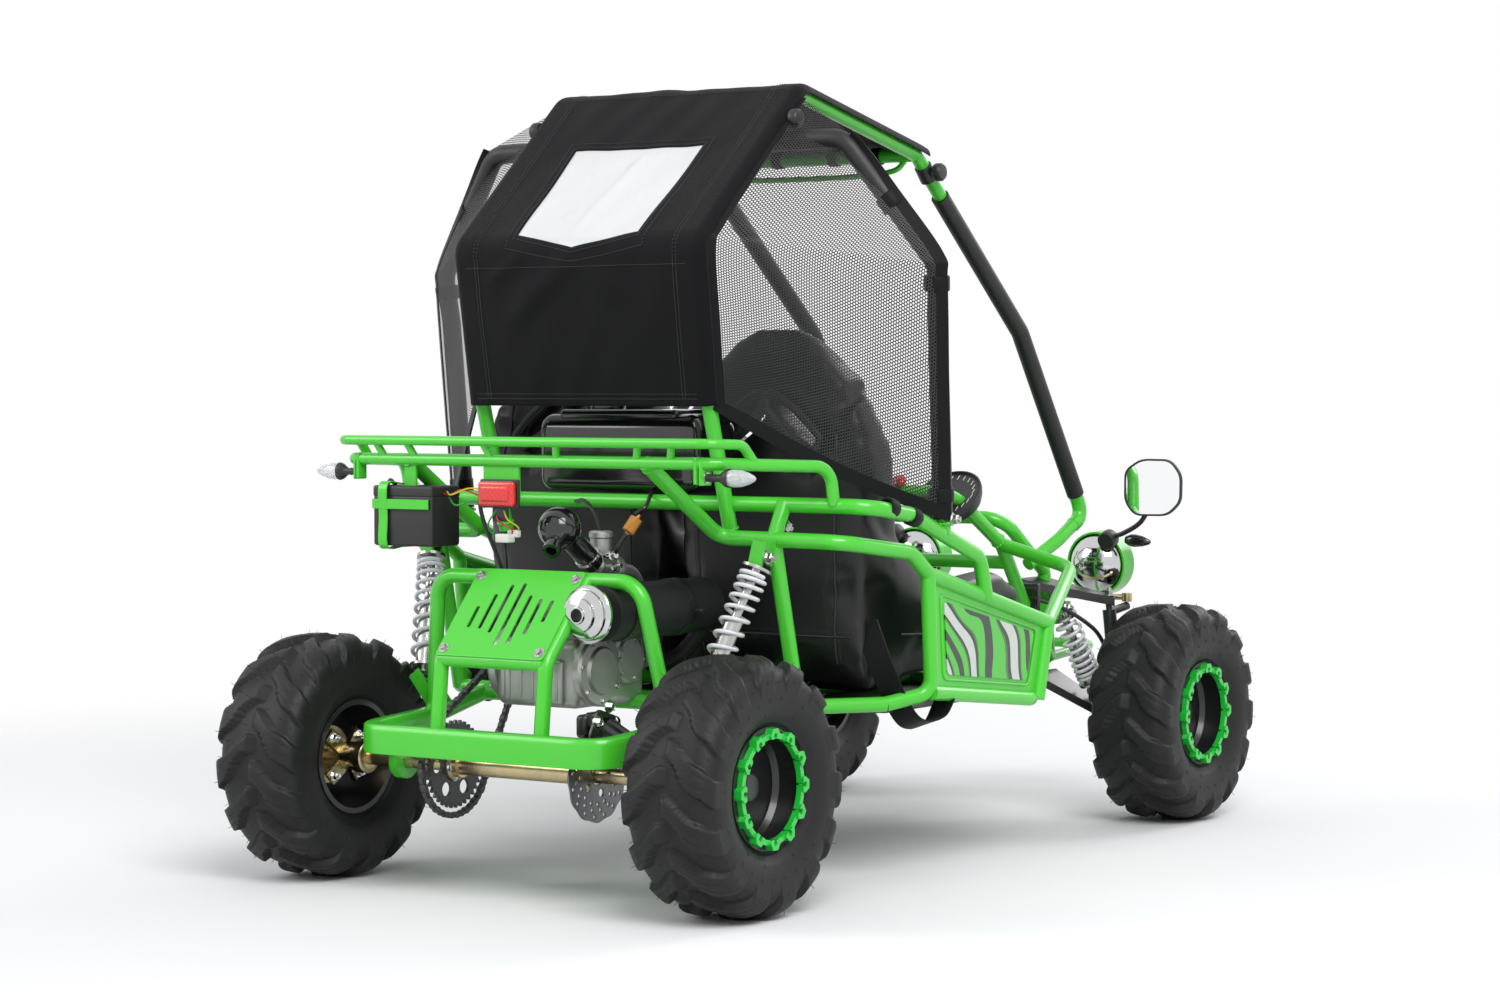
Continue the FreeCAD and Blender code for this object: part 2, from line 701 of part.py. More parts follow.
swing = fuse("swing_tubes", members)
cut("swing_arm", swing, [doc.getObject("main_frame")])

# Guard plate: sheet screwed on the sloping tubes
low, high = at("plate_low"), at("plate_top")
slope = high - low
slope.y = 0
lift = Vector(-slope.z, 0, slope.x).normalize() * (size("tube") / 2 + size("seat_gap"))
left_low, left_high = low + lift, Vector(high.x, low.y, high.z) + lift
right_high = Vector(left_high.x, -left_high.y, left_high.z)
right_low = Vector(left_low.x, -left_low.y, left_low.z)
plate_face = Part.Face(Part.makePolygon([left_low, left_high, right_high, right_low, left_low]))
solid("guard_plate", plate_face.extrude(lift.normalize() * size("sheet_metal")))

# Front suspension and steering
for word, side in sides:
    top, low = at("kingpin_top", side), at("kingpin_low", side)
    stub_out = size("front_track") / 2 + dish_back + size("hub_thickness")
    spin = front_axle + Vector(0, side * stub_out, 0)
    axis = (top - low).normalize()
    stub_root = low + axis * ((front_axle.z - low.z) / axis.z)
    room = axis * size("arm_depth") * size("post_share")
    post = rod(low + room, top - room, size("kingpin_tube"))
    beyond = axis * size("arm_depth")
    post = post.fuse(rod(low - beyond, top + beyond, size("rod_diameter")))
    stub = rod(Vector(front_axle.x, stub_root.y, front_axle.z), spin, size("axle_diameter"))
    eye = at("rod_eye", side)
    steer = rod(top - axis * size("arm_depth"), eye - Vector(0, 0, size("arm_depth")), size("arm_depth"))
    solid("knuckle_" + word, post.fuse([stub, steer]))
members = []
lowers = []
for word, side in sides:
    for store, inner, outer, name in ((members, "upper_arm_inner", "kingpin_top", "upper"),
                                      (lowers, "lower_arm_inner", "kingpin_low", "lower")):
        root, tip = at(inner, side), at(outer, side)
        up = 1 if name == "upper" else -1
        tip = tip + Vector(0, 0, up * (size("arm_depth") / 2 + size("seat_gap") + size("running_gap")))
        spread = Vector(size("arm_end") * size("arm_spread_share"), 0, 0)
        narrow = spread * size("arm_tip_share")
        corners = [root - spread, root + spread, tip + narrow, tip + Vector(0, side * size("arm_end") / 2, 0),
                   tip - narrow]
        corners = [Vector(c.x, c.y, c.z - size("arm_depth") / 2) for c in corners]
        base = corners[0]
        normal = (corners[1] - base).cross(corners[2] - base).normalize()
        corners = [c - normal * (c - base).dot(normal) for c in corners]
        arm_face = Part.Face(Part.makePolygon(corners + [corners[0]]))
        arm = arm_face.extrude(Vector(0, 0, size("arm_depth")))
        high, deep = at("kingpin_top", side), at("kingpin_low", side)
        axis = (high - deep).normalize()
        arm = arm.cut(rod(deep - axis * size("overrun"), high + axis * size("overrun"),
                          size("rod_diameter") + 2 * size("running_gap")))
        pin_room = axis * size("arm_depth") * size("pin_room_share")
        arm = arm.cut(rod(deep + pin_room, high - pin_room, size("kingpin_tube") + size("arm_depth") / 4))
        store.append(solid(name + "_arm_" + word, arm))
for name, store in (("upper_arms", members), ("lower_arms", lowers)):
    pair = doc.addObject("Part::Compound", name + "_pair")
    pair.Links = store
    cut(name, pair, [doc.getObject("main_frame")])

# Shocks: body with its two eyes, and the spring round it
bodies = []
springs = []
for end in ("rear", "front"):
    for word, side in sides:
        top, low = at("shock_" + end + "_top", side), at("shock_" + end + "_low", side)
        along = (low - top).normalize()
        reach = (low - top).Length
        core = rod(top, low, size("shock_body") / 2)
        can_top = top + along * reach * size("can_share")
        can = rod(can_top, low - along * size("shock_end") / 2, size("shock_body"))
        half_eye = Vector(size("shock_eye") / 2, 0, 0)
        ends = [Part.makeCylinder(size("shock_eye") / 2, size("shock_eye"), p - half_eye, Vector(1, 0, 0))
                for p in (top, low)]
        cup_near = along * size("shock_end") / 2
        cup_far = along * (size("shock_end") / 2 + size("lug_plate"))
        cups = [rod(top + cup_near, top + cup_far, size("spring_diameter")),
                rod(low - cup_far, low - cup_near, size("spring_diameter"))]
        bodies.append(solid("shock_body_" + end + "_" + word, core.fuse([can] + ends + cups)))
        coil_start = top + along * (size("shock_end") / 2 + size("lug_plate") + size("seat_gap"))
        coil_end = low - along * (size("shock_end") / 2 + size("lug_plate") + size("seat_gap"))
        sleeve = rod(coil_start, coil_end, size("spring_diameter"))
        sleeve = sleeve.cut(rod(coil_start, coil_end, size("spring_diameter") - 2 * size("spring_wire")))
        springs.append(solid("spring_" + end + "_" + word, sleeve))
for name, store in (("shock_bodies_all", bodies), ("shock_springs", springs)):
    pair = doc.addObject("Part::Compound", name)
    pair.Links = store
    pair.Label = name
cut("shock_bodies", doc.getObject("shock_bodies_all"),
    [doc.getObject("main_frame"), doc.getObject("swing_tubes"), doc.getObject("lower_arms")])

# Engine: crankcase, forward cylinder and round side cover
centre = at("engine")
crankcase = block("crankcase", centre, "engine_length", "engine_width * case_share", "engine_height")
barrel_foot = centre + Vector(0, 0, size("engine_height") * size("barrel_rise_share"))
barrel = drum("barrel", barrel_foot, Vector(1, 0, size("barrel_slope_share")), "cylinder_diameter / 2",
              "cylinder_length + engine_length / 2")
cover_foot = centre - Vector(0, size("engine_width") * size("case_half_share") + size("cover_depth"), 0)
cover = drum("cover", cover_foot, Vector(0, 1, 0), "cover_diameter / 2", "cover_depth + engine_width / 3")
drive = drum("drive", Vector(drive_centre.x, 0, drive_centre.z), Vector(0, 1, 0),
             "drive_diameter / 2 - seat_gap", "sprocket_offset + chain_width / 2")
engine = fuse("engine_block", [crankcase, barrel, cover, drive])
cut("engine", engine, [doc.getObject("main_frame"), doc.getObject("swing_arm")])

# Muffler with its outlet, and the air filter
pipe_start = at("muffler")
muffler = drum("muffler_can", pipe_start, Vector(1, 0, 0), "muffler_diameter / 2", "muffler_length")
outlet_start = pipe_start - Vector(size("outlet_diameter"), 0, 0)
outlet = drum("outlet", outlet_start, Vector(1, 0, 0), "outlet_diameter / 2", "2 * outlet_diameter")
muffler_all = fuse("muffler_all", [muffler, outlet])
cut("muffler", muffler_all,
    [doc.getObject("swing_arm"), doc.getObject("engine"), doc.getObject("guard_plate")])
filter_ball = doc.addObject("Part::Sphere", "filter_ball")
bind(filter_ball, Radius="filter_diameter / 2")
filter_ball.Placement = Placement(at("air_filter"), Rotation())
snout_start = at("air_filter") - Vector(size("filter_diameter") * size("snout_share"), 0, 0)
snout = drum("snout", snout_start, Vector(1, 0, 0), "filter_diameter * snout_radius_share",
             "filter_diameter / 2")
fuse("air_filter", [filter_ball, snout])

# Fuel tank, battery and tail light
tank_base = size("cross_corner_z") + size("tube") / 2 + size("seat_gap")
tank_centre = Vector(size("tank_x"), size("tank_y"), tank_base + size("tank_height") / 2)
block("tank_block", tank_centre, "tank_length", "tank_width", "tank_height")
cut("fuel_tank", doc.getObject("tank_block"),
    [doc.getObject("roof_frame"), doc.getObject("main_frame"), doc.getObject("main_hoop")])
block("battery_block", at("battery"), "battery_length", "battery_width", "battery_height")
cut("battery", doc.getObject("battery_block"), [doc.getObject("luggage_rack"), doc.getObject("main_frame")])
block("tail_light", at("tail_light"), "rail_tube", "tail_light_width", "tail_light_height")

# Seats: a bucket drawn as one side outline across its width
seat_shares = [(0, 0.1), (0.02, 0), (1, 0.09), (1, 0.24), (0.24, 0.16), (0.05, 0.97), (-0.02, 1), (-0.09, 1),
               (-0.13, 0.96)]
for word, side in sides:
    origin = at("seat", side)
    origin.z = size("inner_rail_front_z") + size("tube") / 2 + size("seat_gap")
    half_width = size("seat_width") / 2
    corners = [origin + Vector(across * size("seat_length"), -half_width, up * size("seat_height"))
               for across, up in seat_shares]
    side_face = Part.Face(Part.makePolygon(corners + [corners[0]]))
    raw = solid("seat_raw_" + word, side_face.extrude(Vector(0, size("seat_width"), 0)))
    cut("seat_" + word, raw, [doc.getObject("main_frame"), doc.getObject("fuel_tank")])

# Canopy and side mesh
profile = ["stay_hem", "stay_bend", "roof_peak", "roof_front"]
rise = size("tube") / 2 + size("seat_gap")


def shell_outline(names, gap):
    """Points of a bent line through named places, moved outwards by a gap."""
    points = [Vector(size(n + "_x"), 0, size(n + "_z")) for n in names]
    moved = []
    for n, point in enumerate(points):
        before = points[max(n - 1, 0)]
        after = points[min(n + 1, len(points) - 1)]
        first = (point - before) if n else (after - point)
        second = (after - point) if n < len(points) - 1 else (point - before)
        first.normalize()
        second.normalize()
        one = Vector(-first.z, 0, first.x)
        two = Vector(-second.z, 0, second.x)
        mid = (one + two).normalize()
        moved.append(point + mid * (gap / mid.dot(one)))
    return moved


half_roof = size("stay_bend_y") + size("tube") / 2
hoop_places = both(["hoop_foot", "hoop_waist", "hoop_elbow", "hoop_top"])
inner_line = shell_outline(profile, rise)
outer_line = shell_outline(profile, rise + size("canopy_thickness"))
ring = [Vector(p.x, -half_roof, p.z) for p in inner_line + outer_line[::-1]]
cloth = Part.Face(Part.makePolygon(ring + [ring[0]])).extrude(Vector(0, 2 * half_roof, 0))
solid("canopy", cloth)
fat_hoop = tube("fat_hoop", hoop_places, "foam_clear")
fat_roof = []
for word, side in sides:
    roof_places = [at(n, side) for n in ("stay_foot", "stay_hem", "stay_bend", "roof_peak", "roof_front")]
    fat_roof.append(tube("fat_roof_" + word, roof_places, "tube_clear"))
doc.recompute()
meshes = []
for word, side in sides:
    inner = [at(n, side) for n in ("stay_hem", "stay_bend", "roof_peak")]
    outer = [at(n, side) for n in ("mesh_foot", "hoop_elbow", "hoop_top")]
    prisms = []
    for n in range(2):
        for triangle in ((inner[n], inner[n + 1], outer[n]), (inner[n + 1], outer[n + 1], outer[n])):
            face = Part.Face(Part.makePolygon(list(triangle) + [triangle[0]]))
            prisms.append(face.extrude(Vector(0, side * size("mesh_thickness"), 0)))
    skin = prisms[0].fuse(prisms[1:])
    skin = skin.cut([fat_hoop.Shape, doc.getObject("canopy").Shape] + [r.Shape for r in fat_roof])
    skin = sorted(skin.Solids, key=lambda part: part.Volume)[-1]
    meshes.append(solid("mesh_" + word, skin))
pair = doc.addObject("Part::Compound", "side_mesh")
pair.Links = meshes
pair.Label = "side_mesh"

# Foam sleeves on the hoop and on both front pillars
sleeves = []
foam = tube("hoop_foam", hoop_places, "foam_diameter")
doc.recompute()
floor_box = Part.makeBox(size("wheelbase"), 2 * size("front_track"), size("hoop_foot_z") + size("tube"),
                         Vector(-size("wheelbase") / 2, -size("front_track"), 0))
inside_foam = [doc.getObject(name).Shape for name in ("hoop_tube", "roof_tubes", "canopy")]
sleeves.append(solid("hoop_sleeve", foam.Shape.cut(inside_foam + [floor_box])))
for word, side in sides:
    points = [at(n, side) for n in ("sleeve_top", "pillar_bend", "sleeve_low")]
    pillar_foam = tube("pillar_foam_" + word, points, "foam_diameter")
    doc.recompute()
    pillar_shape = pillar_foam.Shape.cut(doc.getObject("roof_tubes").Shape)
    sleeves.append(solid("pillar_sleeve_" + word, pillar_shape))
pair = doc.addObject("Part::Compound", "foam_sleeves")
pair.Links = sleeves
pair.Label = "foam_sleeves"

# Steering wheel, column with its drop arm, and the two tie rods
wheel_centre = at("steering_wheel")
foot = at("steering_foot")
column_axis = (wheel_centre - foot).normalize()
arm_way = Vector(column_axis.z, 0, -column_axis.x).normalize()
tip = foot + arm_way * size("pitman_length")
column = rod(foot, wheel_centre, size("column_diameter"))
pitman = rod(foot, tip, size("rod_diameter"))
knob = Part.makeSphere(size("rod_end_diameter") / 2, tip)
solid("steering_column", column.fuse([pitman, knob]))
rim_middle = size("wheel_rim_diameter") / 2 - size("wheel_grip") / 2
rim = Part.makeTorus(rim_middle, size("wheel_grip") / 2, wheel_centre, column_axis)
boss = Part.makeCylinder(size("hub_diameter") / 2, size("wheel_grip"), wheel_centre, column_axis)
spokes = []
side_way = Vector(0, 1, 0)
up_way = column_axis.cross(side_way).normalize()
for angle in (0, 180, 270):
    way = side_way * math.cos(math.radians(angle)) + up_way * math.sin(math.radians(angle))
    spokes.append(rod(wheel_centre, wheel_centre + way * rim_middle, size("rod_end_diameter")))
solid("steering_wheel", rim.fuse([boss] + spokes).cut(column))
for word, side in sides:
    eye = at("rod_eye", side)
    ball_room = size("rod_end_diameter") / 2 + size("chain_room")
    inner_end = Vector(eye.x, tip.y + side * ball_room, eye.z)
    bar = rod(eye, inner_end, size("rod_diameter"))
    cap_height = size("rod_end_diameter") * size("rod_cap_share")
    cap_foot = eye - Vector(0, 0, cap_height / 2 - size("running_gap"))
    cap = Part.makeCylinder(size("rod_end_diameter") / 2, cap_height, cap_foot, Vector(0, 0, 1))
    solid("tie_rod_" + word, bar.fuse(cap))

# Lamps, mirrors and signals
lights = []
mirrors = []
signals = []
for word, side in sides:
    centre = at("headlight", side)
    depth = size("headlight_depth")
    ring = Part.makeCylinder(size("headlight_diameter") / 2, depth / 2, centre, Vector(1, 0, 0))
    wide = size("headlight_diameter")
    step = depth * size("bowl_step_share")
    bowl = Part.makeSphere(wide * size("bowl_share"), centre + Vector(step, 0, 0))
    bowl_box = Part.makeBox(depth * 2, wide, wide, centre + Vector(-depth * 2 + step, -wide / 2, -wide / 2))
    bowl = bowl.common(bowl_box)
    stalk_start = centre + Vector(depth * size("stalk_share"), 0, 0)
    stalk = rod(stalk_start, at("pillar_foot", side), size("lug_plate") * 2)
    cage = [doc.getObject("main_frame").Shape, doc.getObject("roof_frame").Shape]
    lights.append(solid("headlight_" + word, ring.fuse([bowl, stalk]).cut(cage)))
    clamp = at("lamp_clamp", side)
    head = at("mirror", side)
    half_head = Vector(size("mirror_thickness"), size("mirror_width"), size("mirror_height")) / 2
    plate = Part.makeBox(size("mirror_thickness"), size("mirror_width"), size("mirror_height"),
                         head - half_head)
    stem = rod(clamp, head, size("rod_diameter") / size("stem_share"))
    grip_end = clamp + Vector(0, side * size("rod_end_diameter"), 0)
    grip = rod(at("pillar_foot", side), grip_end, size("rod_end_diameter"))
    lamp = rod(clamp, at("front_signal", side), size("rod_end_diameter"))
    near = cage + [lights[-1].Shape, sleeves[-1].Shape, sleeves[-2].Shape]
    mirrors.append(solid("mirror_" + word, plate.fuse([stem, grip, lamp]).cut(near)))
    signal = rod(at("rear_signal_root", side), at("rear_signal_tip", side), size("rod_end_diameter"))
    signals.append(solid("signal_" + word, signal.cut(doc.getObject("luggage_rack").Shape)))
for name, members in (("headlights", lights), ("mirrors", mirrors), ("rear_signals", signals)):
    pair = doc.addObject("Part::Compound", name)
    pair.Links = members
    pair.Label = name

# Side panels of the pods and the floor pan
panels = []
for word, side in sides:
    corners = [at(n, side) for n in ("pod_top_rear", "pod_top_front", "pod_low_front", "pod_low_rear")]
    base = corners[0]
    normal = (corners[1] - base).cross(corners[3] - base).normalize()
    corners = [c - normal * (c - base).dot(normal) for c in corners]
    face = Part.Face(Part.makePolygon(corners + [corners[0]]))
    sheet_shape = face.extrude(normal * size("sheet_metal")).cut(doc.getObject("main_frame").Shape)
    panels.append(solid("panel_" + word, sorted(sheet_shape.Solids, key=lambda part: part.Volume)[-1]))
pair = doc.addObject("Part::Compound", "side_panels")
pair.Links = panels
pair.Label = "side_panels"
level = size("inner_rail_front_z") - size("tube") / 2 - size("sheet_metal") - size("seat_gap")
pan = []
pan_corners = (("rail_rear_x", "inner_rail_rear_y"), ("rail_out_x", "rail_out_y"),
               ("outrigger_front_x", "rail_out_y"), ("outrigger_front_x", "inner_rail_front_y"),
               ("inner_rail_front_x", "inner_rail_front_y"))
for ahead, out in pan_corners:
    pan.append(Vector(size(ahead), size(out), level))
pan = pan + [Vector(p.x, -p.y, p.z) for p in reversed(pan)]
pan_face = Part.Face(Part.makePolygon(pan + [pan[0]]))
solid("pan_sheet", pan_face.extrude(Vector(0, 0, size("sheet_metal"))))
cut("floor_pan", doc.getObject("pan_sheet"), [doc.getObject("main_frame")])

# Carburettor, from the filter to the engine
solid("carb_body", rod(at("air_filter"), at("carburettor"), size("filter_diameter") * size("snout_share")))
cut("carburettor", doc.getObject("carb_body"), [doc.getObject("engine"), doc.getObject("air_filter")])

# Each finished piece is checked, then all are written
nodes = ["main_frame", "luggage_rack", "roof_frame", "main_hoop", "swing_arm", "guard_plate", "rear_axle",
         "sprocket", "chain", "brake_disc", "rear_rims", "rear_rings", "tyre_rear_left", "tyre_rear_right",
         "tyre_front_left", "tyre_front_right", "rim_front_left", "rim_front_right", "ring_front_left",
         "ring_front_right", "knuckle_left", "knuckle_right", "upper_arms", "lower_arms", "shock_bodies",
         "shock_springs", "engine", "muffler", "air_filter", "fuel_tank", "battery", "tail_light",
         "seat_left", "seat_right", "canopy", "side_mesh", "foam_sleeves", "steering_column", "steering_wheel",
         "tie_rod_left", "tie_rod_right", "headlights", "mirrors", "rear_signals", "side_panels", "floor_pan",
         "carburettor"]
doc.recompute()
for piece in doc.Objects:
    if "Invalid" in piece.State or "Error" in piece.State:
        raise RuntimeError(piece.Name + " did not work out")
labels = {piece.Label: piece for piece in doc.Objects}
for name in nodes:
    shape = labels[name].Shape
    if not shape.isValid() or not shape.Solids:
        raise RuntimeError(name + " is not a valid solid")
for name in nodes:
    labels[name].Shape.exportStep("parts/" + name + ".step")
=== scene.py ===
import math

import bmesh
import bpy
import numpy as np
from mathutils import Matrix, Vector
from mathutils.bvhtree import BVHTree


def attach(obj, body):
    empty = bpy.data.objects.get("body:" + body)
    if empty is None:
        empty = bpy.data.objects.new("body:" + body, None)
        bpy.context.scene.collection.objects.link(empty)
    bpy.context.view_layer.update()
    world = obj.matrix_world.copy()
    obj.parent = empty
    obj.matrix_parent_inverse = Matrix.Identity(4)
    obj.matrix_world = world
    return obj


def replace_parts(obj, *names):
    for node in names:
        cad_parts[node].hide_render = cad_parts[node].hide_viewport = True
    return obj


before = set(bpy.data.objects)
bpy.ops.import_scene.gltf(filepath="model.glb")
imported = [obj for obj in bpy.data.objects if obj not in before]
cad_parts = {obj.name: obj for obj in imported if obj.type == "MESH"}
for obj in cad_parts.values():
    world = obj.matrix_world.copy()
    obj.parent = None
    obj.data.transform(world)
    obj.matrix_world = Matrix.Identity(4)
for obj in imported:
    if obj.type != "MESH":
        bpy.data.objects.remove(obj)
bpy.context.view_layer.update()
scene = bpy.context.scene
scene.view_settings.view_transform = "Standard"

# Camera. It stands behind the buggy and off its right side, 0.8 m above the floor, and looks slightly
# down. Place in metres, angles in radians, and the lens for film 36 mm wide.
eye = Vector((-5.039, -3.375, 0.823))
eye_yaw, eye_pitch, eye_roll = 0.5971, -0.0343, 0.0005
ahead = Vector((math.cos(eye_pitch) * math.cos(eye_yaw), math.cos(eye_pitch) * math.sin(eye_yaw),
                math.sin(eye_pitch)))
camera = bpy.data.cameras.new("camera")
camera.sensor_width = 36.0
camera.lens = 81.94
camera_object = bpy.data.objects.new("camera", camera)
scene.collection.objects.link(camera_object)
camera_object.location = eye
camera_object.rotation_euler = ahead.to_track_quat("-Z", "Y").to_euler()
camera_object.rotation_euler.rotate_axis("Z", -eye_roll)
scene.camera = camera_object

# Studio. A pale floor that keeps the shadow, a white backdrop that only the camera and mirrors see,
# one broad soft lamp above and behind the camera, and two weaker ones for the far side.
floor_half = 14.0
floor_mesh = bpy.data.meshes.new("floor")
floor_mesh.from_pydata([(-floor_half, -floor_half, 0), (floor_half, -floor_half, 0),
                        (floor_half, floor_half, 0), (-floor_half, floor_half, 0)], [], [(0, 1, 2, 3)])
floor = bpy.data.objects.new("floor", floor_mesh)
scene.collection.objects.link(floor)
floor_paint = bpy.data.materials.new("studio_floor")
floor_paint.use_nodes = True
floor_paint.node_tree.nodes["Principled BSDF"].inputs["Base Color"].default_value = (0.9, 0.9, 0.91, 1)
floor_paint.node_tree.nodes["Principled BSDF"].inputs["Roughness"].default_value = 0.9
floor_tree = floor_paint.node_tree
floor_place = floor_tree.nodes.new("ShaderNodeTexCoord")
floor_reach = floor_tree.nodes.new("ShaderNodeVectorMath")
floor_reach.operation = "LENGTH"
floor_tree.links.new(floor_place.outputs["Object"], floor_reach.inputs[0])
floor_fade = floor_tree.nodes.new("ShaderNodeMapRange")
floor_fade.interpolation_type = "SMOOTHSTEP"
floor_fade.inputs["From Min"].default_value = 1.5
floor_fade.inputs["From Max"].default_value = 3.4
floor_tree.links.new(floor_reach.outputs["Value"], floor_fade.inputs["Value"])
floor_clear = floor_tree.nodes.new("ShaderNodeBsdfTransparent")
floor_mix = floor_tree.nodes.new("ShaderNodeMixShader")
floor_tree.links.new(floor_fade.outputs[0], floor_mix.inputs[0])
floor_tree.links.new(floor_tree.nodes["Principled BSDF"].outputs[0], floor_mix.inputs[1])
floor_tree.links.new(floor_clear.outputs[0], floor_mix.inputs[2])
floor_tree.links.new(floor_mix.outputs[0], floor_tree.nodes["Material Output"].inputs["Surface"])
floor_mesh.materials.append(floor_paint)

world = bpy.data.worlds.new("studio")
scene.world = world
world.use_nodes = True
sky = world.node_tree
sky.nodes.clear()
paths = sky.nodes.new("ShaderNodeLightPath")
seen = sky.nodes.new("ShaderNodeMath")
seen.operation = "MAXIMUM"
also = sky.nodes.new("ShaderNodeMath")
also.operation = "MAXIMUM"
sky.links.new(paths.outputs["Is Camera Ray"], seen.inputs[0])
sky.links.new(paths.outputs["Is Glossy Ray"], seen.inputs[1])
sky.links.new(seen.outputs[0], also.inputs[0])
sky.links.new(paths.outputs["Is Transmission Ray"], also.inputs[1])
backdrop = sky.nodes.new("ShaderNodeBackground")
backdrop.inputs["Color"].default_value = (1, 1, 1, 1)
backdrop.inputs["Strength"].default_value = 1.0
ambient = sky.nodes.new("ShaderNodeBackground")
ambient.inputs["Color"].default_value = (0.95, 0.97, 1.0, 1)
ambient.inputs["Strength"].default_value = 0.5
blend_sky = sky.nodes.new("ShaderNodeMixShader")
sky.links.new(also.outputs[0], blend_sky.inputs[0])
sky.links.new(ambient.outputs[0], blend_sky.inputs[1])
sky.links.new(backdrop.outputs[0], blend_sky.inputs[2])
sky_out = sky.nodes.new("ShaderNodeOutputWorld")
sky.links.new(blend_sky.outputs[0], sky_out.inputs["Surface"])

for lamp_name, place, width, watts in (("key_lamp", (-3.2, -3.6, 4.4), 3.2, 240),
                                       ("fill_lamp", (-4.0, 4.2, 3.4), 3.0, 110),
                                       ("front_lamp", (4.6, -1.0, 3.6), 3.0, 110)):
    lamp = bpy.data.lights.new(lamp_name, "AREA")
    lamp.energy = watts
    lamp.size = width
    lamp_object = bpy.data.objects.new(lamp_name, lamp)
    scene.collection.objects.link(lamp_object)
    lamp_object.location = place
    lamp_object.rotation_euler = (Vector((0, 0, 0.5)) - Vector(place)).to_track_quat("-Z", "Y").to_euler()


def finish(name, colour, roughness, metallic=0.0, grain=0.0, grain_scale=400.0, drift=0.05, drift_scale=6.0,
           wear=0.0, worn=(0.5, 0.5, 0.5), coat=0.0, rounded=0.0008):
    """A material: a colour that drifts a little over the piece, a fine bump, lighter wear and softened
    edges."""
    material = bpy.data.materials.new(name)
    material.use_nodes = True
    tree = material.node_tree
    shader = tree.nodes["Principled BSDF"]
    shader.inputs["Metallic"].default_value = metallic
    shader.inputs["Coat Weight"].default_value = coat
    shader.inputs["Coat Roughness"].default_value = 0.12
    place = tree.nodes.new("ShaderNodeTexCoord")
    slow = tree.nodes.new("ShaderNodeTexNoise")
    slow.inputs["Scale"].default_value = drift_scale
    slow.inputs["Detail"].default_value = 4
    tree.links.new(place.outputs["Object"], slow.inputs["Vector"])
    tone = tree.nodes.new("ShaderNodeMixRGB")
    tone.name = "tone"
    tone.inputs[1].default_value = tuple(c * (1 - drift) for c in colour) + (1,)
    tone.inputs[2].default_value = tuple(min(c * (1 + drift), 1) for c in colour) + (1,)
    tree.links.new(slow.outputs["Fac"], tone.inputs[0])
    colour_out = tone.outputs[0]
    if wear:
        edge = tree.nodes.new("ShaderNodeNewGeometry")
        ramp = tree.nodes.new("ShaderNodeValToRGB")
        ramp.color_ramp.elements[0].position = 0.52
        ramp.color_ramp.elements[1].position = 0.62
        tree.links.new(edge.outputs["Pointiness"], ramp.inputs[0])
        amount = tree.nodes.new("ShaderNodeMath")
        amount.operation = "MULTIPLY"
        amount.inputs[1].default_value = wear
        tree.links.new(ramp.outputs[0], amount.inputs[0])
        worn_mix = tree.nodes.new("ShaderNodeMixRGB")
        worn_mix.inputs[2].default_value = worn + (1,)
        tree.links.new(amount.outputs[0], worn_mix.inputs[0])
        tree.links.new(colour_out, worn_mix.inputs[1])
        colour_out = worn_mix.outputs[0]
    tree.links.new(colour_out, shader.inputs["Base Color"])
    gloss = tree.nodes.new("ShaderNodeMapRange")
    gloss.inputs["To Min"].default_value = roughness * 0.82
    gloss.inputs["To Max"].default_value = min(roughness * 1.18, 1)
    tree.links.new(slow.outputs["Fac"], gloss.inputs["Value"])
    tree.links.new(gloss.outputs[0], shader.inputs["Roughness"])
    fine = tree.nodes.new("ShaderNodeTexNoise")
    fine.inputs["Scale"].default_value = grain_scale
    fine.inputs["Detail"].default_value = 2
    tree.links.new(place.outputs["Object"], fine.inputs["Vector"])
    bump = tree.nodes.new("ShaderNodeBump")
    bump.name = "fine_bump"
    bump.inputs["Strength"].default_value = grain
    bump.inputs["Distance"].default_value = 0.0006
    tree.links.new(fine.outputs["Fac"], bump.inputs["Height"])
    tree.links.new(bump.outputs[0], shader.inputs["Normal"])
    if rounded:
        soft_edge = tree.nodes.new("ShaderNodeBevel")
        soft_edge.samples = 4
        soft_edge.inputs["Radius"].default_value = rounded
        tree.links.new(soft_edge.outputs[0], bump.inputs["Normal"])
    return material


def dress(material, *names):
    """The finish goes on carried-over nodes."""
    for name in names:
        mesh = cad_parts[name].data
        mesh.materials.clear()
        mesh.materials.append(material)


# Cage. Bent and welded steel tube, sheet brackets and panels, all in one bright green powder coat
# that runs over the weld beads and softens every edge.
green = finish("green_powder_coat", (0.068, 0.60, 0.030), 0.30, grain=0.06, grain_scale=700, drift=0.04,
               coat=0.3, rounded=0.002)
dress(green, "main_frame", "roof_frame", "main_hoop", "swing_arm", "guard_plate", "side_panels",
      "luggage_rack")


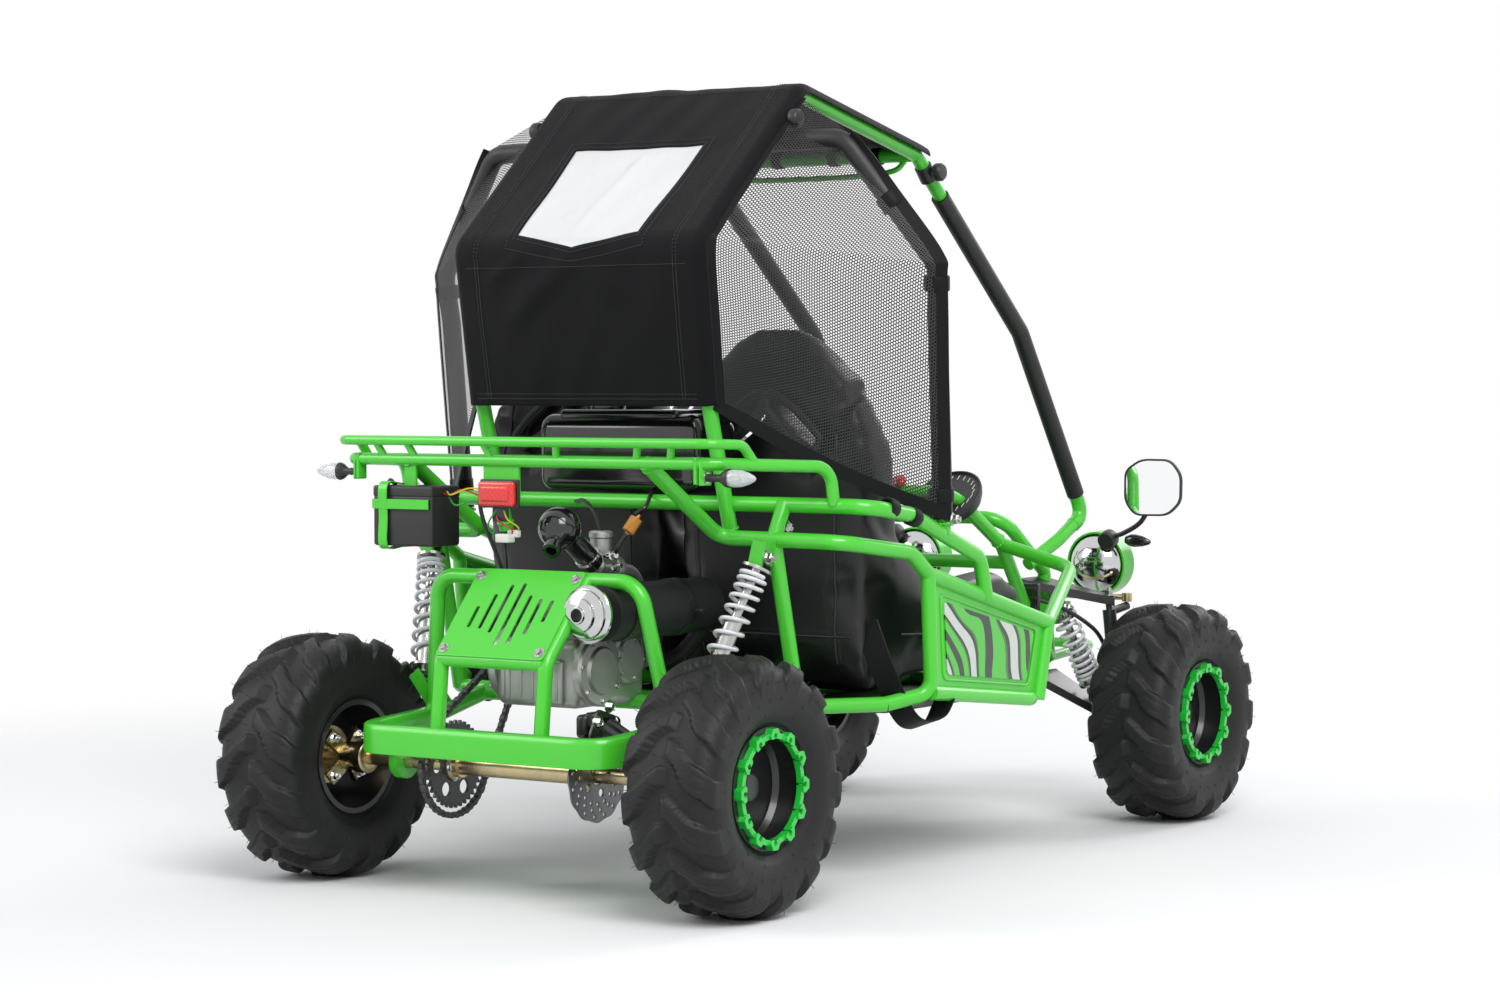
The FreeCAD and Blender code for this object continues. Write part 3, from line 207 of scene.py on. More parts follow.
def skin(name, grids, material, body="root", ring=True, loop=False, sharp=40.0, uv=None, hole=None):
    """One object over grids of points, rows by columns. A ring joins each row's last point to its first and a
    loop the last row to the first. Points that meet are merged, and the faces of closed shapes are turned
    outwards."""
    points, quads, start = [], [], 0
    for grid in grids:
        rows, columns = grid.shape[:2]
        index = np.arange(rows * columns).reshape(rows, columns) + start
        start += rows * columns
        if ring:
            index = np.concatenate([index, index[:, :1]], axis=1)
        if loop:
            index = np.concatenate([index, index[:1]], axis=0)
        cells = np.stack([index[:-1, :-1], index[:-1, 1:], index[1:, 1:], index[1:, :-1]], axis=-1)
        if hole:
            kept = np.ones(cells.shape[:2], bool)
            kept[hole[0]:hole[1], hole[2]:hole[3]] = False
            cells = cells[kept]
        quads.append(cells.reshape(-1, 4))
        points.append(grid.reshape(-1, 3))
    points, quads = np.concatenate(points), np.concatenate(quads)
    mesh = bpy.data.meshes.new(name)
    mesh.from_pydata(points.tolist(), [], quads.tolist())
    if uv is not None:
        layer = mesh.uv_layers.new(name="cut")
        layer.data.foreach_set("uv", uv.reshape(-1, 2)[quads].ravel())
    tidy = bmesh.new()
    tidy.from_mesh(mesh)
    bmesh.ops.remove_doubles(tidy, verts=tidy.verts, dist=1e-6)
    bmesh.ops.recalc_face_normals(tidy, faces=tidy.faces)
    tidy.to_mesh(mesh)
    tidy.free()
    mesh.polygons.foreach_set("use_smooth", np.ones(len(mesh.polygons), bool))
    mesh.set_sharp_from_angle(angle=math.radians(sharp))
    mesh.materials.append(material)
    piece = bpy.data.objects.new(name, mesh)
    scene.collection.objects.link(piece)
    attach(piece, body)
    return piece


def unit(vectors):
    """Each vector divided by its length."""
    vectors = np.asarray(vectors, float)
    return vectors / np.linalg.norm(vectors, axis=-1, keepdims=True)


def turned(profile, columns=40):
    """A profile of (radius, height) pairs carried round the third axis: radius times cosine and sine, and
    height."""
    radius, height = np.asarray(profile, float).T
    turn = np.linspace(0, 2 * np.pi, columns, endpoint=False)
    return np.stack([radius[:, None] * np.cos(turn), radius[:, None] * np.sin(turn),
                     np.repeat(height[:, None], columns, axis=1)], axis=-1)


def placed(shape, origins, axes):
    """Copies of one shape: its third axis along each direction, its first two square to that, its zero at
    each origin."""
    origins = np.atleast_2d(np.asarray(origins, float))
    axes = unit(np.broadcast_to(np.asarray(axes, float), origins.shape))
    helper = np.where(np.abs(axes[:, 2:3]) < 0.9, np.array([[0.0, 0.0, 1.0]]), np.array([[1.0, 0.0, 0.0]]))
    first = unit(np.cross(helper, axes))
    second = np.cross(axes, first)
    moved = (shape[None, ..., 0:1] * first[:, None, None] + shape[None, ..., 1:2] * second[:, None, None]
             + shape[None, ..., 2:3] * axes[:, None, None])
    return list(moved + origins[:, None, None])


def eased(points, count):
    """A smooth line through points: each stretch mixes its two ends and their neighbours by cubic weights."""
    line = np.asarray(points, float)
    line = np.concatenate([2 * line[:1] - line[1:2], line, 2 * line[-1:] - line[-2:-1]])
    way = np.linspace(0, len(line) - 3 - 1e-9, count)
    n = way.astype(int)
    f = (way - n)[:, None]
    a, b, c, d = line[n], line[n + 1], line[n + 2], line[n + 3]
    return 0.5 * (2 * b + (c - a) * f + (2 * a - 5 * b + 4 * c - d) * f ** 2
                  + (3 * b - 3 * c + d - a) * f ** 3)


# Tyres. Moulded black rubber on a round carcass: swept lugs in pairs that meet half a pitch apart at the
# middle, a ribbed bead, and the thin hairs that the mould's vents leave. They are seated on the rims.
lug_count, lug_height, tyre_radius = 14, 0.0106, 0.203
tyre_columns = 504
rubber = finish("tyre_rubber", (0.0105, 0.0105, 0.011), 0.52, grain=0.25, grain_scale=260, drift=0.3,
                drift_scale=9, wear=0.2, worn=(0.05, 0.05, 0.05), rounded=0.0)
rubber.node_tree.nodes["Principled BSDF"].inputs["Specular IOR Level"].default_value = 0.32
carcass = [(0, 192.4), (26, 192.1), (48, 190.3), (63, 186), (73, 178.5), (79.5, 167), (82.0, 152),
           (81.3, 136), (77.6, 121), (71, 109), (66, 102.5), (62.6, 98.5), (60.9, 95), (60.7, 90.4)]


def tyre_surface():
    """Section by turn. The section is a smooth line from bead to bead, moved along its normal by the lug's
    height. A lug is high where the turn lies within its half width of its swept middle line, with a short
    ramp at its edge."""
    half = eased(carcass, 53) / 1000
    section = np.concatenate([half[::-1] * [-1, 1], half[1:]])
    normal = unit(np.gradient(section, axis=0) @ np.array([[0.0, 1.0], [-1.0, 0.0]]))
    normal = normal * np.sign(np.sum(normal * (section - [0, 0.14]), axis=1, keepdims=True))
    out = np.abs(section[:, :1]) / 0.0825
    pitch = 2 * np.pi / lug_count
    turn = np.linspace(0, 2 * np.pi, tyre_columns, endpoint=False)[None] / pitch
    swept = np.interp(out, (0.08, 0.3, 0.42, 0.6, 0.8, 0.95, 1.0),
                      (0.0, -0.16, -0.33, -0.5, -0.6, -0.78, -0.8))
    wide = np.interp(out, (0.0, 0.1, 0.34, 0.44, 0.6, 0.8, 0.95), (0.17, 0.17, 0.19, 0.24, 0.25, 0.26, 0.27))
    stagger = np.where(section[:, :1] < 0, 0.5, 0.0)
    phase = turn - swept - stagger + 0.112
    off = np.abs(phase - np.round(phase))
    edge = (wide - off) * pitch * 190
    tread = np.clip(edge / 2.4 + 0.5, 0, 1)
    tread = tread * tread * (3 - 2 * tread)
    reach = np.interp(section[:, 1:], (0.148, 0.160, 0.178, 0.186), (0.0, 0.18, 0.85, 1.0))
    sipe = np.exp(-((off - 0.1) * pitch * 190 / 1.1) ** 2) * ((out > 0.5) & (out < 0.86))
    ribs = (0.0006 * np.exp(-((section[:, 1:] * 1000 - 116) / 2.2) ** 2)
            + 0.0009 * np.exp(-((section[:, 1:] * 1000 - 103) / 1.6) ** 2))
    height = lug_height * reach * (tread - 0.12 * sipe * tread) + ribs * (out > 0.6)
    place = section[:, None] + normal[:, None] * height[..., None]
    angle = np.broadcast_to(turn * pitch, height.shape)
    return np.stack([place[..., 1] * np.sin(angle), place[..., 0], place[..., 1] * np.cos(angle)], axis=-1)


tyre_shape = tyre_surface()
hair_rows, hair_turns = np.meshgrid(np.array([18, 24, 31, 37, 43, 49, 55, 61, 67, 73, 80, 86]), np.arange(28))
hair_turns = (hair_turns * 18 + (hair_rows * 7) % 18 + (hair_rows % 3) * 2) % tyre_columns
hair_foot = tyre_shape[hair_rows.ravel(), hair_turns.ravel()]
hair_way = unit(hair_foot * [1, 0.0, 1]) + hair_foot * [0, 6.0, 0] + 0.25 * np.sin(
    np.arange(len(hair_foot))[:, None] * [1.7, 2.3, 2.9])
hair = turned([(0.0, -0.001), (0.00045, -0.001), (0.0004, 0.005), (0.00018, 0.0078), (0.0, 0.008)], 4)
above_ground = hair_foot[:, 2] > -0.19
wheel_pairs = (("rear", -0.726, 0.412), ("front", 0.726, 0.418))
for end, place_x, track in wheel_pairs:
    for word, side in (("left", 1), ("right", -1)):
        hub = np.array([place_x, side * track, tyre_radius])
        body = "rear_axle" if end == "rear" else "front_wheel_" + word
        tyre = skin("rubber_%s_%s" % (end, word), [tyre_shape + hub], rubber, body, loop=True,
                    sharp=180)
        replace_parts(tyre, "tyre_%s_%s" % (end, word))
        skin("vent_hairs_%s_%s" % (end, word),
             placed(hair, (hair_foot + hub)[above_ground], hair_way[above_ground]), rubber, body)

# Rims and clamping rings. Pressed steel in satin black, and a moulded ring of bored hexagonal blocks in a
# brighter green, bolted to the rim through the blocks.
black_rim = finish("black_rim_paint", (0.012, 0.012, 0.013), 0.33, grain=0.05, coat=0.3)
ring_green = finish("ring_green", (0.012, 0.56, 0.045), 0.26, grain=0.03, drift=0.03, coat=0.5,
                    rounded=0.0015)
zinc = finish("bright_zinc", (0.48, 0.48, 0.47), 0.26, metallic=1.0, drift=0.12, drift_scale=60, grain=0.08)
black_steel = finish("black_satin_steel", (0.014, 0.014, 0.015), 0.36, grain=0.08, grain_scale=600, drift=0.1,
                     coat=0.2, wear=0.12, worn=(0.1, 0.1, 0.1))
dress(black_rim, "rear_rims", "rim_front_left", "rim_front_right")
dress(ring_green, "rear_rings", "ring_front_left", "ring_front_right")


def hex_bolt(across, head, washer=1.9, proud=0.0):
    """A washer, then a head whose radius follows a hexagon, with a rounded crown, and a thread that stands
    proud."""
    plain = [(0.0, -0.001), (across * washer / 2, -0.001), (across * washer / 2, 0.0014),
             (across * 0.5, 0.0014)]
    flats = [(across * 0.5, 0.0014), (across * 0.5, 0.0014 + head * 0.85), (across * 0.44, 0.0014 + head)]
    if proud:
        end = [(across * 0.3, 0.0014 + head), (across * 0.3, 0.0014 + head + proud),
               (0.0, 0.0014 + head + proud)]
    else:
        end = [(across * 0.4, 0.0014 + head), (across * 0.34, head), (0.0, head)]
    shape = turned(plain + flats + end, 24)
    turn = np.linspace(0, 2 * np.pi, 24, endpoint=False)
    six = 1 / np.cos((turn % (np.pi / 3)) - np.pi / 6) * 0.98
    shape[3:7, :, :2] *= six[:, None]
    return shape


hub_cap = turned([(0.0, 0.0085), (0.016, 0.0085), (0.0215, 0.0078), (0.0232, 0.006), (0.0235, 0.0),
                  (0.0, 0.0)], 40)
blocks_turn = np.arange(12) * np.pi / 6
block_circle = 0.082
for end, place_x, track in wheel_pairs:
    for word, side in (("left", 1), ("right", -1)):
        body = "rear_axle" if end == "rear" else "front_wheel_" + word
        face = side * (track + 0.0643)
        centres = np.stack([place_x + block_circle * np.sin(blocks_turn), np.full(12, face + side * 0.0062),
                            tyre_radius + block_circle * np.cos(blocks_turn)], axis=-1)
        screw = turned([(0.0, -0.003), (0.0040, -0.003), (0.0040, 0.0015), (0.0032, 0.0026), (0.0, 0.0026)],
                       16)
        skin("ring_screws_%s_%s" % (end, word), placed(screw, centres, (0, side, 0)), ring_green,
             body)
        cap_at = (place_x, side * (track + 0.064 - 0.046 + 0.009), tyre_radius)
        skin("hub_cap_%s_%s" % (end, word), placed(hub_cap, cap_at, (0, side, 0)), black_rim,
             body)

# Plain finishes of the running gear and the other carried-over pieces: yellow zinc on the axle and rods,
# satin black on the arms and the floor pan, cast alloy on the engine, and moulded black plastic.
gold_zinc = finish("yellow_zinc", (0.55, 0.45, 0.26), 0.28, metallic=1.0, drift=0.3, drift_scale=26,
                   grain=0.08)
disc_steel = finish("disc_steel", (0.16, 0.16, 0.165), 0.3, metallic=1.0, drift=0.2, drift_scale=40,
                    grain=0.1)
chain_steel = finish("chain_steel", (0.035, 0.034, 0.033), 0.38, metallic=0.8, drift=0.3, drift_scale=90,
                     grain=0.2, wear=0.4, worn=(0.25, 0.25, 0.25))
exhaust_black = finish("stove_black", (0.016, 0.016, 0.017), 0.5, grain=0.15, grain_scale=900, drift=0.15)
cast_alloy = finish("cast_alloy", (0.44, 0.44, 0.43), 0.42, metallic=0.85, grain=0.3, grain_scale=700,
                    drift=0.14, drift_scale=20, wear=0.25, worn=(0.75, 0.75, 0.74))
chrome = finish("chrome", (0.60, 0.60, 0.61), 0.09, metallic=1.0, drift=0.02, grain=0.0)
gloss_black = finish("gloss_black_plastic", (0.008, 0.008, 0.009), 0.12, grain=0.02, drift=0.1, coat=0.7)
satin_plastic = finish("satin_plastic", (0.016, 0.016, 0.017), 0.42, grain=0.25, grain_scale=1100, drift=0.1)
dress(gold_zinc, "rear_axle", "tie_rod_left", "tie_rod_right")
dress(black_steel, "knuckle_left", "knuckle_right", "upper_arms", "lower_arms", "steering_column", "sprocket",
      "floor_pan")
dress(disc_steel, "brake_disc")
dress(chain_steel, "chain")
dress(exhaust_black, "muffler")
dress(cast_alloy, "engine", "carburettor")
dress(chrome, "headlights")
dress(zinc, "shock_bodies")
dress(gloss_black, "fuel_tank", "air_filter")
dress(satin_plastic, "battery", "mirrors", "steering_wheel")

# Springs. White enamelled wire, wound tighter at the frame's end on the rear shocks and at the wheel's end on
# the front ones, with closed end coils that sit in the cups.
white_enamel = finish("white_enamel", (0.78, 0.79, 0.82), 0.22, drift=0.03, coat=0.6, rounded=0.0)
spring_turns, wire, spring_radius = 9, 0.0036, 0.0213


def coil(top, low, tight_top):
    """A wire round the shock's line: its angle grows evenly, its height by a power that packs the coils at
    one end."""
    top, low = np.array(top) / 1000, np.array(low) / 1000
    along = unit(low - top)
    start, stop = top + along * 0.0305, low - along * 0.0305
    share = np.linspace(0, 1, spring_turns * 36)
    rise = share ** 1.45 if tight_top else 1 - (1 - share) ** 1.45
    turn = share * spring_turns * 2 * np.pi
    first = unit(np.cross(along, (1.0, 0.0, 0.0)))
    second = np.cross(along, first)
    radial = np.cos(turn)[:, None] * first + np.sin(turn)[:, None] * second
    middle = start + rise[:, None] * (stop - start)
    ring = np.linspace(0, 2 * np.pi, 10, endpoint=False)
    thick = np.where((share == 0) | (share == 1), 0.0, wire)[:, None, None]
    return (middle[:, None] + radial[:, None] * (spring_radius + thick * np.cos(ring)[None, :, None])
            + along * thick * np.sin(ring)[None, :, None])


coils = []
for side in (1, -1):
    coils.append(coil((-540, side * 338, 545), (-628, side * 286, 330), True))
    coils.append(coil((622, side * 236, 398), (694, side * 272, 238), False))
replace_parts(skin("coil_springs", coils, white_enamel), "shock_springs")

# Roof cloth. One piece of black coated canvas over the roof tubes and down behind the seats, wrapped round
# the side tubes and sewn there, with a band sewn round the clear window. It sags between tubes and folds
# below it.
canvas_gap = 0.0185
roof_line = np.array([(-534, 788), (-572, 1046), (-286, 1303), (108, 1224), (126, 1219)]) / 1000
side_line = np.array([232, 236, 240, 229, 229]) / 1000


def roof_path():
    """The roof tubes' line in 4 mm steps, its corners rounded by averaging over 28 mm; with its normal and
    half width."""
    run = np.concatenate([[0], np.cumsum(np.linalg.norm(np.diff(roof_line, axis=0), axis=1))])
    steps = np.arange(0, run[-1], 0.004)
    line = np.stack([np.interp(steps, run, roof_line[:, n]) for n in (0, 1)], axis=-1)
    wide = np.interp(steps, run, side_line)
    padded_line = np.pad(line, ((3, 3), (0, 0)), mode="reflect", reflect_type="odd")
    line = np.stack([np.convolve(padded_line[:, n], np.ones(7) / 7, mode="valid") for n in (0, 1)], axis=-1)
    way = unit(np.gradient(line, axis=0))
    return steps, line, np.stack([-way[:, 1], way[:, 0]], axis=-1), wide, run


path_steps, path_line, path_normal, path_wide, path_run = roof_path()
bend_at, peak_at, front_at = path_run[1], path_run[2], path_run[3]
window_low, window_high = bend_at + 0.012, bend_at + 0.238


def window_side(along):
    """Half the window's width at a place along the cloth: a little wider at its top."""
    return np.interp(along, (window_low, window_high), (0.123, 0.132))


def canvas(across, along, lift=0.0):
    """Points of the cloth from its flat cut: over the tubes' line at a fixed gap, less the sag between tubes,
    plus folds that run out from under the window, and past the side tube round it in an arc."""
    line = np.stack([np.interp(along, path_steps, path_line[:, n]) for n in (0, 1)], axis=-1)
    normal = np.stack([np.interp(along, path_steps, path_normal[:, n]) for n in (0, 1)], axis=-1)
    wide = np.interp(along, path_steps, path_wide)
    share = np.clip(across / wide, -1, 1)
    roof = np.clip((along - peak_at) / (front_at - peak_at), 0, 1)
    slope = np.clip((along - bend_at) / (peak_at - bend_at), 0, 1)
    sag = 0.008 * np.sin(np.pi * share) ** 2 * np.sin(np.pi * roof)
    sag += 0.007 * (1 - share ** 2) * np.sin(np.pi * slope) ** 2
    drop = np.clip((bend_at - along) / bend_at, 0, 1)
    folds = 0.0
    for foot, tip, size, width in (((0.0, -0.012), (0.15, -0.13), 0.0075, 0.022),
                                   ((0.0, -0.012), (-0.13, -0.10), 0.005, 0.02),
                                   ((0.10, -0.01), (0.19, -0.06), 0.004, 0.012),
                                   ((-0.19, -0.02), (-0.11, -0.22), 0.003, 0.03),
                                   ((0.2, -0.08), (0.05, -0.24), 0.003, 0.035),
                                   ((-0.02, 0.40), (0.14, 0.385), 0.0025, 0.012)):
        reach = np.array(tip) - np.array(foot)
        length = np.hypot(*reach)
        forward = ((across - foot[0]) * reach[0] + (along - bend_at - foot[1]) * reach[1]) / length ** 2
        aside = ((across - foot[0]) * reach[1] - (along - bend_at - foot[1]) * reach[0]) / length
        body = np.exp(-(aside / width) ** 2) * np.exp(-((forward - 0.45) / 0.42) ** 4)
        folds = folds + size * body
    ripple = 0.0012 * np.sin(across * 62 + along * 9) * np.sin(along * 31 + across * 13) * (1 - share ** 2)
    hem = 0.0008 * (np.abs(across) > wide - 0.03)
    around = np.clip((np.abs(across) - wide) / canvas_gap, 0, None)
    out = (canvas_gap - sag + (folds + ripple + 0.005 * (1 - share ** 2) * np.sin(np.pi * drop))
           * (np.abs(share) < 1) + hem + lift) * np.cos(around)
    sideways = np.where(around > 0, np.sign(across) * (wide + (canvas_gap + hem + lift) * np.sin(around)),
                        across)
    return np.stack([line[..., 0] + normal[..., 0] * out, sideways, line[..., 1] + normal[..., 1] * out],
                    axis=-1)


def canvas_grid():
    """The flat cut as a grid whose lines are bent so that one block of cells is exactly the window."""
    low_rows = np.linspace(0, window_low, 64, endpoint=False)
    pane_rows = np.linspace(window_low, window_high, 56, endpoint=False)
    high_rows = np.linspace(window_high, path_steps[-1], 120)
    along = np.concatenate([low_rows, pane_rows, high_rows])
    half = np.concatenate([np.linspace(0, 0.123, 30, endpoint=False),
                           np.linspace(0.123, 0.236, 26, endpoint=False), 0.236 + np.linspace(0, 0.027, 12)])
    across = np.concatenate([-half[:0:-1], half])
    across, along = np.meshgrid(across, along)
    size = np.abs(across)
    wide = np.interp(along, path_steps, path_wide)
    pane = window_side(along)
    bent = np.where(size < 0.123, size * pane / 0.123,
                    np.where(size < 0.236, pane + (size - 0.123) / 0.113 * (wide - pane),
                             wide + size - 0.236))
    dip = 0.017 * np.clip(1 - size / 0.123, 0, 1) * np.clip(1 - np.abs(along - window_low) / 0.09, 0, 1)
    return np.sign(across) * bent, along - dip


def cloth(name, colour, roughness, threads=900.0, depth=0.5, sheen=0.3):
    """A woven finish: two crossed waves over the flat cut make the threads, and slow noise shades their
    colour."""
    material = finish(name, colour, roughness, drift=0.22, drift_scale=7, grain=depth, rounded=0.0)
    tree = material.node_tree
    tree.nodes["Principled BSDF"].inputs["Sheen Weight"].default_value = sheen
    tree.nodes["Principled BSDF"].inputs["Sheen Roughness"].default_value = 0.4
    tree.nodes["Principled BSDF"].inputs["Specular IOR Level"].default_value = 0.12
    cut = tree.nodes.new("ShaderNodeTexCoord")
    split = tree.nodes.new("ShaderNodeSeparateXYZ")
    tree.links.new(cut.outputs["UV"], split.inputs[0])
    waves = []
    for axis in (0, 1):
        scaled = tree.nodes.new("ShaderNodeMath")
        scaled.operation = "MULTIPLY"
        scaled.inputs[1].default_value = threads * 2 * math.pi
        tree.links.new(split.outputs[axis], scaled.inputs[0])
        wave = tree.nodes.new("ShaderNodeMath")
        wave.operation = "SINE"
        tree.links.new(scaled.outputs[0], wave.inputs[0])
        waves.append(wave)
    crossed = tree.nodes.new("ShaderNodeMath")
    crossed.operation = "MULTIPLY"
    tree.links.new(waves[0].outputs[0], crossed.inputs[0])
    tree.links.new(waves[1].outputs[0], crossed.inputs[1])
    bump = tree.nodes["fine_bump"]
    bump.inputs["Distance"].default_value = 0.0003
    tree.links.new(crossed.outputs[0], bump.inputs["Height"])
    return material


roof_canvas = cloth("black_canvas", (0.0045, 0.0045, 0.0055), 0.66, threads=700.0, depth=0.6, sheen=0.06)
cut_across, cut_along = canvas_grid()
roof_cloth = skin("roof_cloth", [canvas(cut_across, cut_along)], roof_canvas, ring=False,
                  sharp=180, uv=np.stack([cut_across, cut_along], axis=-1), hole=(64, 120, 37, 97))
thick = roof_cloth.modifiers.new("thickness", "SOLIDIFY")
thick.thickness = 0.0014
thick.offset = 0.0
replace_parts(roof_cloth, "canopy")

# Rear window. A pane of clear vinyl, cloudy from folding, sewn under the canvas along its band.
vinyl = finish("window_vinyl", (0.86, 0.87, 0.88), 0.2, grain=0.6, grain_scale=26, drift=0.04, drift_scale=9,
               rounded=0.0)
vinyl.node_tree.nodes["Principled BSDF"].inputs["Transmission Weight"].default_value = 0.25
vinyl.node_tree.nodes["fine_bump"].inputs["Distance"].default_value = 0.004
pane_across, pane_along = np.meshgrid(np.linspace(-1, 1, 61),
                                      np.linspace(window_low - 0.012, window_high + 0.008, 50))
pane_across = pane_across * (window_side(pane_along) + 0.008)
pane_dip = (0.016 * np.clip(1 - np.abs(pane_across) / 0.123, 0, 1)
            * np.clip(1 - np.abs(pane_along - window_low) / 0.09, 0, 1))
pane_edge = np.clip((pane_along - window_low) / 0.05, 0, 1) * np.clip((window_high - pane_along) / 0.05, 0, 1)
pane_fold = 0.004 * pane_edge * np.exp(
    -((pane_across - 0.012 + 0.15 * (pane_along - window_low)) / 0.012) ** 2)
window = skin("window_pane", [canvas(pane_across, pane_along - pane_dip, lift=-0.0014 + pane_fold)], vinyl,
              ring=False, sharp=180, uv=np.stack([pane_across, pane_along], axis=-1))
window_skin = window.modifiers.new("thickness", "SOLIDIFY")
window_skin.thickness = 0.0008
window_skin.offset = 0.0

# Stitching of the roof cloth, in black thread that catches the light: beside the side hems, round the window,
# along the rear hem and over the two cross tubes.
thread = finish("thread", (0.03, 0.03, 0.033), 0.4, drift=0.2, rounded=0.0)
stitch = turned([(0.0, -0.0017), (0.0005, -0.0012), (0.0006, 0.0), (0.0005, 0.0012), (0.0, 0.0017)], 6)


def stitched(name, lines, lay, step=0.0042, body="root"):
    """Short threads in a row along lines on a surface: lay gives a point of the surface for each point of the
    cut."""
    spots, ways = [], []
    for line in lines:
        line = np.asarray(line, float)
        run = np.concatenate([[0], np.cumsum(np.linalg.norm(np.diff(line, axis=0), axis=1))])
        marks = np.arange(step / 2, run[-1], step)
        flat_at = [np.stack([np.interp(marks + push, run, line[:, n]) for n in range(line.shape[1])], axis=-1)
                   for push in (0, 0.001)]
        here, next_one = lay(flat_at[0]), lay(flat_at[1])
        spots.append(here)
        ways.append(next_one - here)
    ways = np.concatenate(ways)
    good = np.linalg.norm(ways, axis=1) > 1e-7
    return skin(name, placed(stitch, np.concatenate(spots)[good], ways[good]), thread, body)


def on_canvas(flat_at):
    """The canvas point a little above the cloth for a point of the cut."""
    return canvas(flat_at[:, 0], flat_at[:, 1], lift=0.0012)


cloth_end = float(path_steps[-1]) - 0.02
seam_lines = []
for side in (1, -1):
    seam_lines.append([(side * 0.202, 0.012), (side * 0.206, bend_at), (side * 0.21, peak_at),
                       (side * 0.2, cloth_end)])
    seam_lines.append([(side * 0.196, 0.012), (side * 0.2, bend_at), (side * 0.204, peak_at),
                       (side * 0.194, cloth_end)])
for gap in (0.005, 0.016):
    seam_lines.append([(-0.123 - gap, window_low - gap), (0, window_low - gap - 0.017),
                       (0.123 + gap, window_low - gap), (0.132 + gap, window_high + gap),
                       (-0.132 - gap, window_high + gap), (-0.123 - gap, window_low - gap)])
for place in (0.012, 0.02, bend_at - 0.03, peak_at - 0.012, peak_at + 0.02, front_at - 0.03):
    seam_lines.append([(-0.225, place), (0.225, place)])
stitched("roof_stitching", seam_lines, on_canvas)

# Side nets. Fine black warp-knit between the roof tube and the main hoop, bound with tape along the sloping
# lower edge and along the roof, and pulled round the padded hoop.
net_inner = np.array([(-534, 246, 786), (-553, 249, 920), (-566, 250, 1040), (-540, 251, 1082),
                      (-420, 253, 1192), (-300, 254, 1296)]) / 1000
net_pitch = 0.0043
net_outer = np.array([(-262, 519, 604), (-278, 525, 800), (-292, 530, 985), (-296, 524, 1030),
                      (-318, 452, 1130), (-336, 378, 1228)]) / 1000


def net_material():
    """Black knit with round holes: three waves 120 degrees apart over the flat cut add to peaks on a
    triangular lattice, and where their sum is high the net is open."""
    material = finish("black_net", (0.012, 0.012, 0.013), 0.55, drift=0.1, rounded=0.0)
    tree = material.node_tree
    cut = tree.nodes.new("ShaderNodeTexCoord")
    total = None
    for turn in (0.0, 2 * math.pi / 3, 4 * math.pi / 3):
        along = tree.nodes.new("ShaderNodeVectorMath")
        along.operation = "DOT_PRODUCT"
        spread = 2 * math.pi / net_pitch
        along.inputs[1].default_value = (spread * math.cos(turn), spread * math.sin(turn), 0)
        tree.links.new(cut.outputs["UV"], along.inputs[0])
        wave = tree.nodes.new("ShaderNodeMath")
        wave.operation = "COSINE"
        tree.links.new(along.outputs["Value"], wave.inputs[0])
        if total is None:
            total = wave
            continue
        both = tree.nodes.new("ShaderNodeMath")
        tree.links.new(total.outputs[0], both.inputs[0])
        tree.links.new(wave.outputs[0], both.inputs[1])
        total = both
    opening = tree.nodes.new("ShaderNodeMapRange")
    opening.inputs["From Min"].default_value = -0.30
    opening.inputs["From Max"].default_value = 0.10
    tree.links.new(total.outputs[0], opening.inputs["Value"])
    see = tree.nodes.new("ShaderNodeBsdfTransparent")
    mix = tree.nodes.new("ShaderNodeMixShader")
    tree.links.new(opening.outputs[0], mix.inputs[0])
    tree.links.new(tree.nodes["Principled BSDF"].outputs[0], mix.inputs[1])
    tree.links.new(see.outputs[0], mix.inputs[2])
    tree.links.new(mix.outputs[0], tree.nodes["Material Output"].inputs["Surface"])
    return material


net = net_material()
tape = cloth("black_tape", (0.007, 0.007, 0.008), 0.55, threads=500.0, depth=0.8, sheen=0.08)


def net_surface(side):
    """Straight threads from the roof tube to the hoop, hung a little slack towards the lower edge."""
    inner, outer = eased(net_inner, 90), eased(net_outer, 90)
    share = np.linspace(0, 1, 60)[None, :, None]
    grid = inner[:, None] * (1 - share) + outer[:, None] * share
    slack = 0.012 * np.sin(np.pi * share) * np.exp(-np.linspace(0, 9, 90))[:, None, None]
    grid = grid - slack * np.array([0.5, 0.0, 1.0])
    length = np.linalg.norm(outer - inner, axis=1)
    down = np.concatenate([[0], np.cumsum(np.linalg.norm(np.diff((inner + outer) / 2, axis=0), axis=1))])
    flat_at = np.stack([share[..., 0] * length[:, None], np.repeat(down[:, None], 60, axis=1)], axis=-1)
    return grid * [1, side, 1], flat_at


net_grids = [net_surface(1), net_surface(-1)]
side_net = skin("side_nets", [grid for grid, _ in net_grids], net, ring=False, sharp=180,
                uv=np.stack([flat_at for _, flat_at in net_grids]))
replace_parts(side_net, "side_mesh")


